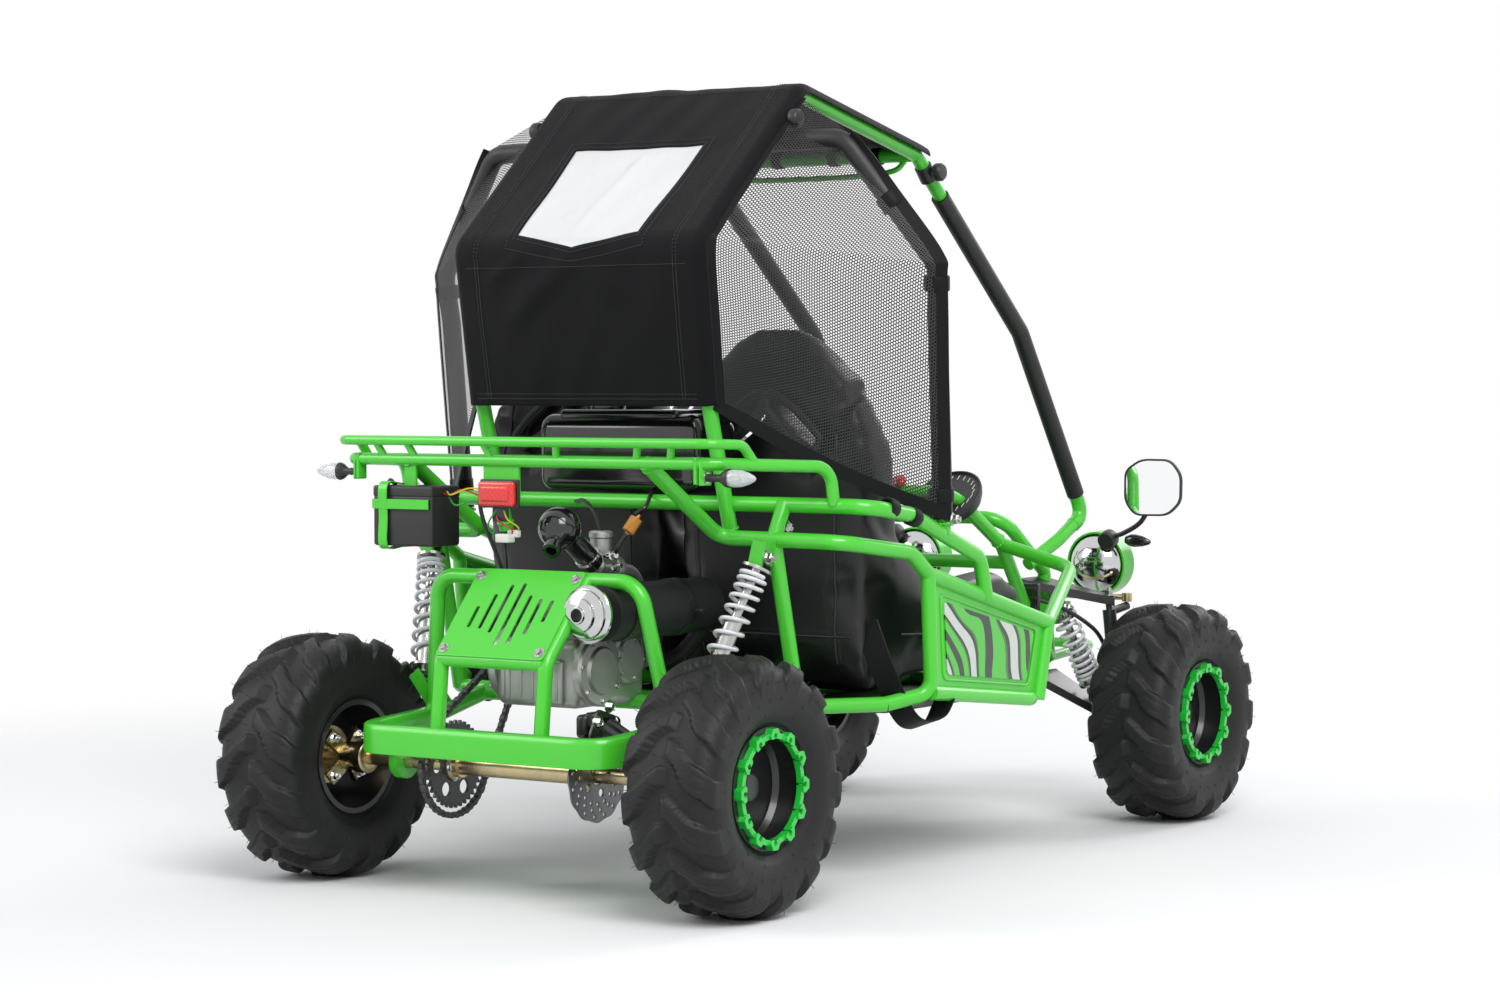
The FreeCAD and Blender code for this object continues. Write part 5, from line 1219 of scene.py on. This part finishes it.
# Rear light, signals and battery. A red lens with a raised border over small prisms; clear faceted
# teardrops on black rubber necks, each with a zinc nut; a black battery box with a lid, held by a green
# strap.
red_lens = finish("red_lens", (0.88, 0.012, 0.012), 0.1, drift=0.05, coat=1.0, rounded=0.0015)
prisms = red_lens.node_tree.nodes.new("ShaderNodeTexChecker")
prisms.inputs["Scale"].default_value = 220
prism_place = red_lens.node_tree.nodes.new("ShaderNodeTexCoord")
red_lens.node_tree.links.new(prism_place.outputs["Object"], prisms.inputs["Vector"])
prism_tone = red_lens.node_tree.nodes.new("ShaderNodeMixRGB")
prism_tone.blend_type = "MULTIPLY"
prism_tone.inputs[0].default_value = 0.3
red_lens.node_tree.links.new(red_lens.node_tree.nodes["tone"].outputs[0], prism_tone.inputs[1])
red_lens.node_tree.links.new(prisms.outputs["Color"], prism_tone.inputs[2])
red_lens.node_tree.links.new(prism_tone.outputs[0],
                             red_lens.node_tree.nodes["Principled BSDF"].inputs["Base Color"])
lens = [block((-738, 9, 625), (-726, 81, 665), 5), block((-741, 17, 633), (-732, 73, 657), 3)]
tail = skin("tail_lens", lens, red_lens, sharp=40)
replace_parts(tail, "tail_light")
skin("tail_backing", [block((-727, 6, 622), (-721, 84, 668), 2),
                      block((-724, 30, 600), (-720, 60, 625), 1, 3)], satin_plastic)
clear_plastic = finish("clear_lens", (0.86, 0.88, 0.9), 0.06, drift=0.02, coat=1.0, rounded=0.0)
clear_plastic.node_tree.nodes["Principled BSDF"].inputs["Transmission Weight"].default_value = 0.45
facets = clear_plastic.node_tree.nodes.new("ShaderNodeTexVoronoi")
facets.inputs["Scale"].default_value = 190
facet_place = clear_plastic.node_tree.nodes.new("ShaderNodeTexCoord")
clear_plastic.node_tree.links.new(facet_place.outputs["Object"], facets.inputs["Vector"])
clear_plastic.node_tree.links.new(facets.outputs["Distance"],
                                  clear_plastic.node_tree.nodes["fine_bump"].inputs["Height"])
clear_plastic.node_tree.nodes["fine_bump"].inputs["Strength"].default_value = 0.7
clear_plastic.node_tree.nodes["fine_bump"].inputs["Distance"].default_value = 0.002
teardrops, necks, nuts = [], [], []
for side in (1, -1):
    drop = turned(np.array([(0, 0), (9, 1), (12.5, 8), (14, 18), (13, 32), (9, 46), (4, 56), (0, 59)]) / 1000,
                  32)
    drop[..., 0] *= 0.8
    teardrops.append(placed(drop, (-0.712, side * 0.386, 0.676), (0, side, 0))[0])
    shell = turned(np.array([(0, -6), (8, -6), (13.4, 2), (15, 8), (14.4, 10), (12, 6), (0, 4)]) / 1000, 32)
    shell[..., 0] *= 0.8
    necks.append(placed(shell, (-0.712, side * 0.386, 0.676), (0, side, 0))[0])
    necks.append(spun([(0, 0), (6, 0), (6.5, 4), (5.4, 6), (6.5, 9), (5.4, 12), (6.5, 15), (5.4, 18), (8, 30),
                       (0, 30)], (-712, side * 354, 676), (0, side, 0), 24))
    nuts += placed(hex_bolt(0.014, 0.006, 1.3), (-0.712, side * 0.353, 0.676), (0, -side, 0))
signal_lens = skin("signal_lenses", teardrops, clear_plastic, sharp=60)
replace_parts(signal_lens, "rear_signals")
skin("signal_necks", necks, satin_plastic)
skin("signal_nuts", nuts, zinc, sharp=30)
skin("signal_tabs", [block((-728, side * 350 - 2, 664), (-698, side * 350 + 2, 700), 1.5, 3)
                     for side in (1, -1)], green)
battery_parts = [block((-742, 173, 556), (-668, 297, 640), 5),
                 block((-742.5, 172.5, 636), (-667.5, 297.5, 655), 4)]
battery = skin("battery_box", battery_parts, satin_plastic)
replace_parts(battery, "battery")
strap_front = np.array([(-0.664, 0.272, 0.5535), (-0.705, 0.272, 0.5535), (-0.7445, 0.272, 0.555),
                        (-0.7455, 0.272, 0.604), (-0.7445, 0.272, 0.657), (-0.705, 0.272, 0.6575),
                        (-0.664, 0.272, 0.657)])
skin("battery_strap", [ribbon(eased(strap_front, 60), (0, 1, 0), 0.018, 0.002),
                       ribbon(np.array([(-0.7465, 0.176, 0.625), (-0.7465, 0.235, 0.625),
                                        (-0.7465, 0.294, 0.625)]), (0, 0, 1), 0.016, 0.002)], green,
     sharp=50)

# Lamps and mirrors at the front. Chromed bowls with clear lenses sit in green hood rings with a rolled lip;
# an eight-sided mirror in a thin black frame stands on a bent stem with a ball; a small black signal is
# under it.
lamp_way = unit((1.0, 0.0, 0.05))
bowls, glasses, hoods, mirror_backs, faces, stems, front_black = [], [], [], [], [], [], []
for side in (1, -1):
    at = (798, side * 205, 470)
    bowls.append(spun([(0, -10), (14, -9), (30, -4), (44, 5), (53, 15), (58, 27), (58.5, 50), (60.5, 52),
                       (60.5, 60), (57, 60), (55, 46), (40, 24), (20, 12), (0, 10)], at, lamp_way, 56))
    glasses.append(spun([(0, 57), (40, 55), (56.5, 50), (56.5, 48), (40, 52), (0, 54)], at, lamp_way, 48))
    hoods.append(spun([(58.6, 20), (62.5, 20), (62.5, 61), (60, 61.5), (60.8, 60), (60.8, 23), (58.6, 22),
                       (58.6, 20)], at, lamp_way, 56))
    mid = np.array((792.0, side * 345, 622))
    outline = rounded_outline(np.array([(-34, -54), (26, -54), (51, -28), (53, 26), (34, 55), (-20, 56),
                                        (-50, 34), (-52, -26)]) * [side, 1], 14, 6)
    back = np.stack([side * 0.36 * outline[:, 0] - 0.05 * outline[:, 1], outline[:, 0], outline[:, 1]],
                    axis=-1)
    rows = [mid + back * s + [d, 0, 0] for s, d in
            ((0, 8), (0.6, 7.5), (0.9, 4), (1, -2), (1, -7), (0.95, -8), (0.93, -6.4), (0, -6.4))]
    mirror_backs.append(np.stack(rows) / 1000)
    glass_rows = [mid + back * s + [d, 0, 0] for s, d in ((0, -6.9), (0.93, -6.9), (0.93, -6.0), (0, -6.0))]
    faces.append(np.stack(glass_rows) / 1000)
    stems.append(piped(eased([(0.798, side * 0.340, 0.610), (0.796, side * 0.318, 0.560),
                              (0.797, side * 0.280, 0.535), (0.802, side * 0.245, 0.524)], 40), 0.0048, 14))
    stems.append(spun([(0, -8), (7, -6), (9, 0), (7, 6), (0, 8)], (798, side * 332, 598), (0, 0, 1), 24))
    stems.append(spun([(0, -13), (16, -13), (18, -10), (18, 10), (16, 13), (0, 13)], (800, side * 242, 520),
                      (1, 0, 0.3), 32))
    signal = turned(np.array([(0, -6), (7, -5), (12, 6), (12.5, 16), (10, 32), (5, 46), (0, 50)]) / 1000, 32)
    signal[..., 0] *= 0.75
    front_black.append(placed(signal, (0.806, side * 0.282, 0.520), (0, side, -0.06))[0])
bowl_piece = skin("headlight_bowls", bowls, chrome, sharp=40)
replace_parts(bowl_piece, "headlights")
skin("headlight_glass", glasses, clear_plastic)
skin("headlight_hoods", hoods, green, sharp=50)
mirror_piece = skin("mirror_backs", mirror_backs, satin_plastic, sharp=50)
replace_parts(mirror_piece, "mirrors")
silver = finish("mirror_glass", (0.93, 0.94, 0.95), 0.015, metallic=1.0, drift=0.01, rounded=0.0)
skin("mirror_glasses", faces, silver, sharp=30)
skin("mirror_stems", stems, satin_plastic)
skin("front_signals", front_black, gloss_black)

# Axle hubs, sleeves, disc and sprocket. Four-armed flanges in yellow zinc, bolted to the rims; a vented
# disc on a zinc hub; a blackened sprocket with round windows; lock rings on the axle.
arms, hub_bolts = [], []
for side in (1, -1):
    place = side * 412 - side * 16
    arms.append(spun([(0, 0), (24, 0), (24, 22), (27, 24), (27, 44), (24, 47), (18, 48), (0, 48)],
                     (-726, place - side * 30, 203), (0, -side, 0), 40))
    for n in range(4):
        turn = np.pi / 4 + n * np.pi / 2
        way = np.array([math.cos(turn), 0, math.sin(turn)])
        root = np.array((-726.0, place - side * 26, 203)) / 1000
        rod_line = np.stack([root + way * r / 1000 + np.array([0, side * push, 0]) / 1000
                             for r, push in ((12, 0), (30, 2), (46, 6), (52, 8))])
        arms.append(ribbon(eased(rod_line, 12), np.cross(way, (0, 1, 0)), 0.026, 0.009))
        hub_bolts += placed(hex_bolt(0.012, 0.008, 1.5, 0.004),
                            root + way * 0.044 - np.array([0, side * -0.002, 0]), (0, -side, 0))
skin("hub_arms", arms, gold_zinc, "rear_axle", sharp=40)
skin("hub_bolts", hub_bolts, chrome, "rear_axle", sharp=30)
disc_holes = [circle((r * math.cos(a), r * math.sin(a)), 0.0036, 12)
              for ring_at, r in enumerate((0.046, 0.056, 0.066))
              for a in np.arange(16) * np.pi / 8 + ring_at * 0.13]
disc_windows = [circle((0.030 * math.cos(a), 0.030 * math.sin(a)), 0.0065, 20)
                for a in np.arange(5) * 2 * np.pi / 5]
wave = np.linspace(0, 2 * np.pi, 192, endpoint=False)
disc_edge = np.stack([(0.0745 + 0.0012 * np.cos(wave * 12)) * np.cos(wave),
                      (0.0745 + 0.0012 * np.cos(wave * 12)) * np.sin(wave)], axis=-1)
disc_sheet = cut_plate("disc_sheet", disc_edge, disc_holes + disc_windows + [circle((0, 0), 0.0152, 32)],
                       0.0038, (-0.726, -0.150, 0.203), (1, 0, 0), (0, 0, 1), disc_steel,
                       "rear_axle")
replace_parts(disc_sheet, "brake_disc")
tooth = np.linspace(0, 2 * np.pi, 37 * 8, endpoint=False)
tooth_edge = 0.0688 + 0.0032 * np.clip(np.cos(tooth * 37) * 1.5, -1, 1)
windows = [circle((0.045 * math.cos(a), 0.045 * math.sin(a)), 0.0115, 28) for a in np.arange(6) * np.pi / 3]
sprocket_sheet = cut_plate("sprocket_sheet",
                           np.stack([tooth_edge * np.cos(tooth), tooth_edge * np.sin(tooth)], axis=-1),
                           windows + [circle((0, 0), 0.0152, 32)], 0.0056, (-0.726, 0.140, 0.203), (1, 0, 0),
                           (0, 0, 1), black_steel, "rear_axle")
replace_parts(sprocket_sheet, "sprocket")
carriers = []
for place, way in ((-0.148, 1), (0.143, -1)):
    carriers.append(spun([(15.2, 0), (26, 0), (27, 2), (27, 9), (22, 12), (21, 22), (15.2, 22), (15.2, 0)],
                         (-726, place * 1000, 203), (0, way, 0), 40))
skin("axle_hubs", carriers, gold_zinc, "rear_axle", sharp=35)
lock_bolts = ring_of(hex_bolt(0.009, 0.006, 1.4), (-726, -139, 203), (0, 1, 0), 22, 5, 0.3)
lock_bolts += ring_of(hex_bolt(0.009, 0.006, 1.4), (-726, 134, 203), (0, -1, 0), 22, 6, 0.2)
skin("axle_hub_bolts", lock_bolts, zinc, "rear_axle", sharp=30)

# Chain. A roller chain round both sprockets, its side plates waisted between the pins.


def chain_loop():
    """The loop round two circles: arcs and the two straight runs that touch both, in even steps; the
    section's width switches between outer and inner plates from pitch to pitch, and its height swells at each
    pin."""
    big, small = np.array([-0.726, 0.203]), np.array([-0.591, 0.345])
    wide, tight = 0.0835, 0.0315
    along = small - big
    reach = np.linalg.norm(along)
    tilt = math.acos((wide - tight) / reach)
    base = math.atan2(along[1], along[0])
    turn_small = np.linspace(base + tilt, base - tilt, 60)
    turn_big = np.linspace(base - tilt, base + tilt - 2 * np.pi, 160)
    loop = np.concatenate([small + tight * np.stack([np.cos(turn_small), np.sin(turn_small)], axis=-1),
                           big + wide * np.stack([np.cos(turn_big), np.sin(turn_big)], axis=-1)])
    loop = np.concatenate([loop, loop[:1]])
    run = np.concatenate([[0], np.cumsum(np.linalg.norm(np.diff(loop, axis=0), axis=1))])
    pins = int(round(run[-1] / 0.0127 / 2)) * 2
    marks = np.linspace(0, run[-1], pins * 10, endpoint=False)
    line = np.stack([np.interp(marks, run, loop[:, n]) for n in (0, 1)], axis=-1)
    way = unit(np.roll(line, -1, axis=0) - np.roll(line, 1, axis=0))
    out = np.stack([-way[:, 1], way[:, 0]], axis=-1)
    phase = marks / run[-1] * pins
    tall = 0.0034 + 0.0017 * np.abs(np.cos(np.pi * phase))
    half = np.where(np.floor(phase + 0.5).astype(int) % 2 == 0, 0.0058, 0.0046)
    corners = np.array([(-1, -0.7), (-0.8, -1), (0.8, -1), (1, -0.7), (1, 0.7), (0.8, 1), (-0.8, 1),
                        (-1, 0.7)])
    flat = line[:, None] + out[:, None] * (tall[:, None] * corners[None, :, 1])[..., None]
    side = 0.140 + half[:, None] * corners[None, :, 0]
    return np.stack([flat[..., 0], side, flat[..., 1]], axis=-1)


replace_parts(skin("roller_chain", [chain_loop()], chain_steel, loop=True, sharp=35), "chain")

# Brake caliper with its plate: a black steel plate with cut corners, on two stays from the swing arm, and a
# small cast body on both sides of the disc.
plate_outline = rounded_outline(np.array([(-0.056, 0.006), (-0.010, 0.006), (0.018, 0.040), (0.018, 0.092),
                                          (-0.040, 0.110), (-0.062, 0.07)]), 0.008)
cut_plate("caliper_plate", plate_outline, [circle((-0.046, 0.090), 0.0055), circle((0.0, 0.080), 0.0055)],
          0.005, (-0.726, -0.181, 0.203), (1, 0, 0), (0, 0, 1), black_steel)
caliper = [block((-752, -176, 262), (-706, -153, 300), 7), block((-752, -147, 262), (-706, -126, 300), 7),
           block((-748, -160, 281), (-710, -140, 304), 6)]
skin("caliper_body", caliper, black_steel, sharp=40)
skin("caliper_stays", [piped(np.linspace((x, -0.181, 0.290), (x, -0.236, 0.262), 4), 0.007, 16)
                       for x in (-0.735, -0.762)], black_steel)
skin("caliper_bolts", placed(hex_bolt(0.013, 0.008, 1.6),
                             [(-0.772, -0.184, 0.293), (-0.726, -0.184, 0.283), (-0.740, -0.184, 0.315)],
                             (0, -1, 0)), zinc, sharp=30)

# Fuel tank. A black moulded tank with rounded edges, a raised top and a screw cap, on the cross tube behind
# the seats.
tank = skin("tank_shell", [block((-476, -164, 640), (-348, 164, 772), 26, 7),
                           block((-470, -120, 762), (-354, 120, 779), 8),
                           spun([(0, -3), (30, -3), (31, 0), (31, 10), (28, 13), (0, 13)], (-412, 60, 776),
                                (0, 0, 1), 40)], gloss_black, sharp=40)
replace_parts(tank, "fuel_tank")

# Side panels: sheet with a pressed bead and, inside it, a printed field with a plain pattern of green,
# black and white waves.


def on_panel(points, out, plane):
    """Points of a panel's own plane, given by its middle, two directions and normal, moved out along the
    normal."""
    middle, run, rise, normal = plane
    points = np.asarray(points, float)
    return middle + points[..., :1] * run + points[..., 1:2] * rise + normal * out


pod = np.array([(-280, 490, 512), (-262, 486, 316), (105, 478, 277), (140, 478, 408)]) / 1000
for side in (1, -1):
    corners = pod * [1, side, 1]
    middle = corners.mean(axis=0)
    run = unit(corners[2] - corners[1])
    rise = np.cross(run, unit(np.cross(run, corners[0] - corners[1])))
    rise = rise * np.sign(rise[2])
    normal = unit(np.cross(run, rise))
    normal = normal * np.sign(normal[1] * side)
    flat = np.stack([(corners - middle) @ run, (corners - middle) @ rise], axis=-1)
    plane = (middle, run, rise, normal)
    word = "left" if side > 0 else "right"
    loop = on_panel(rounded_outline(flat * [0.80, 0.72], 0.012, 6), 0.0008, plane)
    skin("panel_bead_" + word, [piped(loop, 0.0022, 10, closed=True)], green)
    field = finish("panel_print_" + word, (0.05, 0.5, 0.03), 0.25, coat=0.4, rounded=0.0)
    tree = field.node_tree
    uv_place = tree.nodes.new("ShaderNodeTexCoord")
    wave_one = tree.nodes.new("ShaderNodeTexWave")
    wave_one.inputs["Scale"].default_value = 1.9
    wave_one.inputs["Distortion"].default_value = 6.0
    wave_one.inputs["Detail"].default_value = 1.0
    wave_one.bands_direction = "DIAGONAL"
    tree.links.new(uv_place.outputs["UV"], wave_one.inputs["Vector"])
    bands = tree.nodes.new("ShaderNodeValToRGB")
    bands.color_ramp.interpolation = "CONSTANT"
    elements = bands.color_ramp.elements
    elements[0].position, elements[0].color = 0.0, (0.006, 0.02, 0.006, 1)
    elements[1].position, elements[1].color = 0.09, (0.06, 0.55, 0.03, 1)
    for stop, colour in ((0.62, (0.02, 0.20, 0.015, 1)), (0.72, (0.006, 0.02, 0.006, 1)),
                         (0.88, (0.6, 0.66, 0.6, 1))):
        new = elements.new(stop)
        new.color = colour
    tree.links.new(wave_one.outputs["Color"], bands.inputs[0])
    tree.links.new(bands.outputs[0], tree.nodes["Principled BSDF"].inputs["Base Color"])
    inner_rim = rounded_outline(flat * [0.74, 0.62], 0.01, 6)
    shares = np.array([0.0, 0.5, 1.0])[:, None, None]
    sheet = on_panel(inner_rim[None] * shares, 0.0026, plane)
    foot = on_panel(inner_rim[None], 0.0006, plane)
    grid = np.concatenate([sheet, foot, on_panel(inner_rim[None] * 0, 0.0006, plane)])
    cut = np.concatenate([inner_rim[None] * shares, inner_rim[None], inner_rim[None] * 0]) / 0.4
    skin("panel_print_" + word, [grid], field, uv=cut, sharp=40)

# Loom, hoses and cables. Coloured wires from the battery to the lamp, connectors in white shells, black
# cables down to the engine and along the rear tube, the throttle cable, and the fuel hose with its filter.
wire_colours = {"red": (0.5, 0.01, 0.01), "green": (0.02, 0.3, 0.05), "yellow": (0.6, 0.5, 0.02),
                "black": (0.012, 0.012, 0.012)}
wires = {"red": [[(-705, 190, 652), (-715, 160, 640), (-728, 120, 650), (-724, 84, 640)],
                 [(-716, 60, 618), (-728, 44, 600), (-716, 28, 588), (-702, 40, 574)]],
         "green": [[(-712, 160, 636), (-732, 130, 625), (-726, 100, 632), (-722, 78, 622)],
                   [(-722, 50, 622), (-726, 66, 600), (-712, 76, 584), (-700, 60, 570)]],
         "yellow": [[(-712, 165, 646), (-736, 136, 642), (-730, 108, 652), (-722, 84, 652)],
                    [(-722, 40, 622), (-724, 30, 604), (-706, 22, 590), (-694, 36, 576)]],
         "black": [[(-705, 280, 655), (-700, 296, 662), (-690, 310, 640), (-660, 300, 610), (-592, 248, 618)],
                   [(-700, 100, 660), (-712, 96, 630), (-706, 92, 596), (-682, 84, 540), (-658, 70, 470),
                    (-648, 62, 404)],
                   [(-548, -26, 580), (-546, -10, 612), (-520, 30, 628), (-490, 66, 626), (-474, 88, 626)],
                   [(-545, -93, 609), (-536, -108, 622), (-500, -90, 636), (-450, -60, 646)],
                   [(-559, -85, 577), (-568, -82, 566), (-575, -79, 554), (-573, -72, 543)]]}
for word, lines in wires.items():
    coat_colour = finish("wire_" + word, wire_colours[word], 0.35, drift=0.05, rounded=0.0)
    skin("wires_" + word, [piped(eased(np.array(line) / 1000, 50), 0.0034 if word == "black" else 0.0014, 8)
                           for line in lines], coat_colour)
shell_white = finish("connector_shell", (0.75, 0.74, 0.7), 0.4, drift=0.05, rounded=0.001)
skin("connector_shells", [block((-724, 30, 566), (-704, 56, 580), 2, 3),
                          block((-708, 24, 574), (-696, 44, 586), 2, 3)], shell_white)

# Rack risers and roof bow. Short thin tubes join the rack's two bent tubes, and a thin bow under the roof's
# front cross tube keeps the cloth off the heads; both are welded.
risers, beads = [], []
for side in (1, -1):
    for y, lean_y in ((0.30, 0.012), (0.235, 0.012), (0.075, 0.010)):
        top_end, low_end = np.array([-0.733, side * y, 0.729]), np.array([-0.719, side * (y - lean_y), 0.698])
        risers.append(piped(np.linspace(top_end, low_end, 4), 0.0062, 14))
bow = eased([(0.110, 0.205, 1.214), (0.100, 0.185, 1.196), (0.098, 0.10, 1.189), (0.098, -0.10, 1.189),
             (0.100, -0.185, 1.196), (0.110, -0.205, 1.214)], 50)
risers.append(piped(bow, 0.005, 14))
skin("rack_risers", risers, green)

# Weld beads. A ripple of small rounds where the cage's tubes meet, painted over with the cage.


def bead(place, axis, radius):
    """A closed ring whose thickness ripples along it, square to the joining tube's direction."""
    turn = np.linspace(0, 2 * np.pi, 96, endpoint=False)
    axis = unit(axis)
    helper = np.array([0.0, 0.0, 1.0]) if abs(axis[2]) < 0.9 else np.array([1.0, 0.0, 0.0])
    first = unit(np.cross(helper, axis))
    second = np.cross(axis, first)
    ring = (np.asarray(place, float) / 1000
            + radius / 1000 * (np.cos(turn)[:, None] * first + np.sin(turn)[:, None] * second))
    return piped(ring, 0.0022 + 0.0005 * np.cos(turn * 14), 8, closed=True)


for side in (1, -1):
    for place, other, gap, radius in (((-719, 240, 698), (-520, 243, 574), 12, 11.5),
                                      ((-470, 232, 574), (-534, 232, 790), 13, 12.5),
                                      ((-248, 500, 575), (-279, 507, 932), 20, 17),
                                      ((-655, 240, 280), (-686, 205, 508), 16, 10.5),
                                      ((430, 218, 525), (255, 215, 625), 14, 12.5)):
        start, end = np.array(place) * [1.0, side, 1.0], np.array(other) * [1.0, side, 1.0]
        way = unit(end - start)
        beads.append(bead(start + way * gap, way, radius))
skin("weld_beads", beads, green, sharp=180)
collars = []
for side in (1, -1):
    elbow = eased([(0.692, side * 0.229, 0.610), (0.704, side * 0.229, 0.592), (0.7085, side * 0.229, 0.576),
                   (0.700, side * 0.2288, 0.561), (0.684, side * 0.228, 0.552)], 24)
    collars.append(piped(elbow, 0.0138, 28))
skin("pillar_collars", collars, green)

# Straps and knobs. Black webbing bands hold the cloth's lower corners to the side tubes and the sleeves to
# the hoop; black moulded knobs clamp the roof tubes, and small straps tie the cloth to the front cross
# tube.
webbing = cloth("black_webbing", (0.009, 0.009, 0.010), 0.5, threads=380.0, depth=0.9, sheen=0.1)
bands = []
for side in (1, -1):
    for place, axis, radius, wide in (((-414, 500, 624), (70, 0, -17), 14.6, 24),
                                      ((-344, 500, 607), (70, 0, -17), 14.6, 22),
                                      ((-311, 438, 1118), (-44, -151, 208), 20.5, 26),
                                      ((-286, 510, 984), (-11, 6, 82), 20.5, 24),
                                      ((-258, 502, 640), (-31, 7, 357), 20.5, 22)):
        profile = [(radius - 3, -wide / 2), (radius, -wide / 2), (radius + 0.8, -wide / 2 + 2),
                   (radius + 0.8, wide / 2 - 2), (radius, wide / 2), (radius - 3, wide / 2)]
        bands.append(spun(profile + profile[:1], np.array(place) * [1, side, 1],
                          np.array(axis) * [1, side, 1], 40))
for y in (-150, -60, 60, 150):
    profile = [(12, -9), (15, -9), (15.4, -7), (15.4, 7), (15, 9), (12, 9), (12, -9)]
    bands.append(spun(profile, (108, y, 1224), (0, 1, 0), 32))
skin("strap_bands", bands, webbing, sharp=50)
knobs, knob_bolts = [], []
for side in (1, -1):
    for place in ((-335, 241, 1258), (140, 230, 1194)):
        knobs.append(spun([(0, 10), (6, 10), (6, 18), (14, 19), (16, 22), (16, 32), (13, 36), (0, 37)],
                          np.array(place) * [1, side, 1], (0, side, 0), 28))
        knobs.append(spun([(12, -16), (15.5, -15), (15.5, 15), (12, 16), (12, -16)],
                          np.array(place) * [1, side, 1],
                          (0.79, 0, 0.61) if place[0] < 0 else (0.686, 0, -0.727), 32))
skin("roof_knobs", knobs, satin_plastic, sharp=40)
for side in (1, -1):
    for place, axis in (((-540, 338, 545), (0, 1, 0)), ((-628, 286, 330), (0, 1, 0)),
                        ((622, 236, 398), (0, 1, 0)), ((694, 272, 238), (0, 1, 0)),
                        ((-496.7, 342.6, 600.4), (0.77, 0.43, -0.48)), ((-250, 505, 600), (0.2, 1, 0)),
                        ((717, 288, 406.5), (0, 0, 1))):
        spot = np.array(place) * [1, side, 1] / 1000
        away = unit(np.array(axis) * [1, side, 1])
        knob_bolts += placed(hex_bolt(0.015, 0.009, 1.45, 0.004), spot + away * 0.012, away)
skin("joint_bolts", knob_bolts, zinc, sharp=30)

# Dials and controls. A round black instrument by the dash hoop with plain ticks on its face, a red cut-off
# switch beside it, and four pedals with ribbed feet that stand up from the floor pan.
drum_at, drum_way = np.array([296, -186, 611]), unit((-0.63, 0.0, 0.777))
skin("instrument_case", [spun([(0, -22), (44, -22), (56, -16), (62, -4), (65, 6), (65, 13), (62, 14), (60, 9),
                               (0, 9)], drum_at, drum_way, 56),
                         spun([(0, -46), (9, -46), (9, -20), (0, -20)], drum_at, drum_way, 24)],
     satin_plastic, sharp=35)
ticks = ring_of(block((-1, -6, -0.4), (1, 6, 0.4), 0.3, 2), drum_at + drum_way * 9.6, drum_way, 50, 24)
skin("instrument_ticks", ticks, shell_white)
skin("cutoff_switch", [spun([(0, 0), (9, 0), (9, 6), (13, 8), (14, 14), (10, 18), (0, 19)], (252, -110, 636),
                            drum_way, 28)], red_lens)
pedals = []
for y in (120, 190, -150, -215):
    pedals.append(piped(eased([(0.560, y / 1000, 0.300), (0.552, y / 1000, 0.340), (0.536, y / 1000, 0.392)],
                              16), 0.0055, 12))
    pedals.append(block((-5, -26, -36), (5, 26, 36), 3) + np.array([0.532, y / 1000, 0.412]))
    for n in range(4):
        pedals.append(block((-7, -22, -28 + n * 17), (-4, 22, -22 + n * 17), 1, 2)
                      + np.array([0.532, y / 1000, 0.412]))
    pedals.append(spun([(0, -16), (9, -16), (9, 16), (0, 16)], (560, y, 298), (0, 1, 0), 20))
skin("pedals", pedals, black_steel, sharp=40)

# Belts. Black webbing: a lap belt with its buckle lies over each cushion, and a loose end hangs in a loop
# from beside the seat to the pod's lower rail.
belts, buckles = [], []
for side in (1, -1):
    across = np.linspace(-0.150, 0.150, 50)
    line = np.stack([np.full(50, -0.02), left_place[1] + across, np.full(50, 0.8)], axis=-1)
    laid = on_seat(line, (0, 0, -1)) + [0, 0, 0.0035]
    belts.append(ribbon(laid * [1, side, 1], (1, 0, 0), 0.046, 0.0022))
    hung = eased([(-0.300, side * 0.385, 0.425), (-0.316, side * 0.430, 0.345), (-0.292, side * 0.452, 0.280),
                  (-0.262, side * 0.462, 0.262), (-0.225, side * 0.470, 0.270),
                  (-0.200, side * 0.476, 0.302)], 50)
    belts.append(ribbon(hung, (0, side, 0.35), 0.044, 0.0022))
    top = laid[25] * [1, side, 1] * 1000
    buckles.append(block(top + [-28, -34, 0], top + [28, 34, 16], 5))
skin("lap_belts", belts, webbing, sharp=50)
skin("belt_buckles", buckles, satin_plastic, sharp=40)
skin("buckle_buttons", [block((b.reshape(-1, 3).mean(axis=0) * 1000 + [-10, -12, 6]),
                              (b.reshape(-1, 3).mean(axis=0) * 1000 + [10, 12, 10]), 2, 3) for b in buckles],
     red_lens)

# Front brake hoses: black rubber, from the frame along the arms to the knuckles.
hoses = []
for side in (1, -1):
    hoses.append(piped(eased([(0.560, side * 0.200, 0.420), (0.600, side * 0.250, 0.400),
                              (0.650, side * 0.290, 0.360), (0.690, side * 0.296, 0.320),
                              (0.706, side * 0.300, 0.290)], 50), 0.004, 12))
skin("brake_hoses", hoses, satin_plastic)
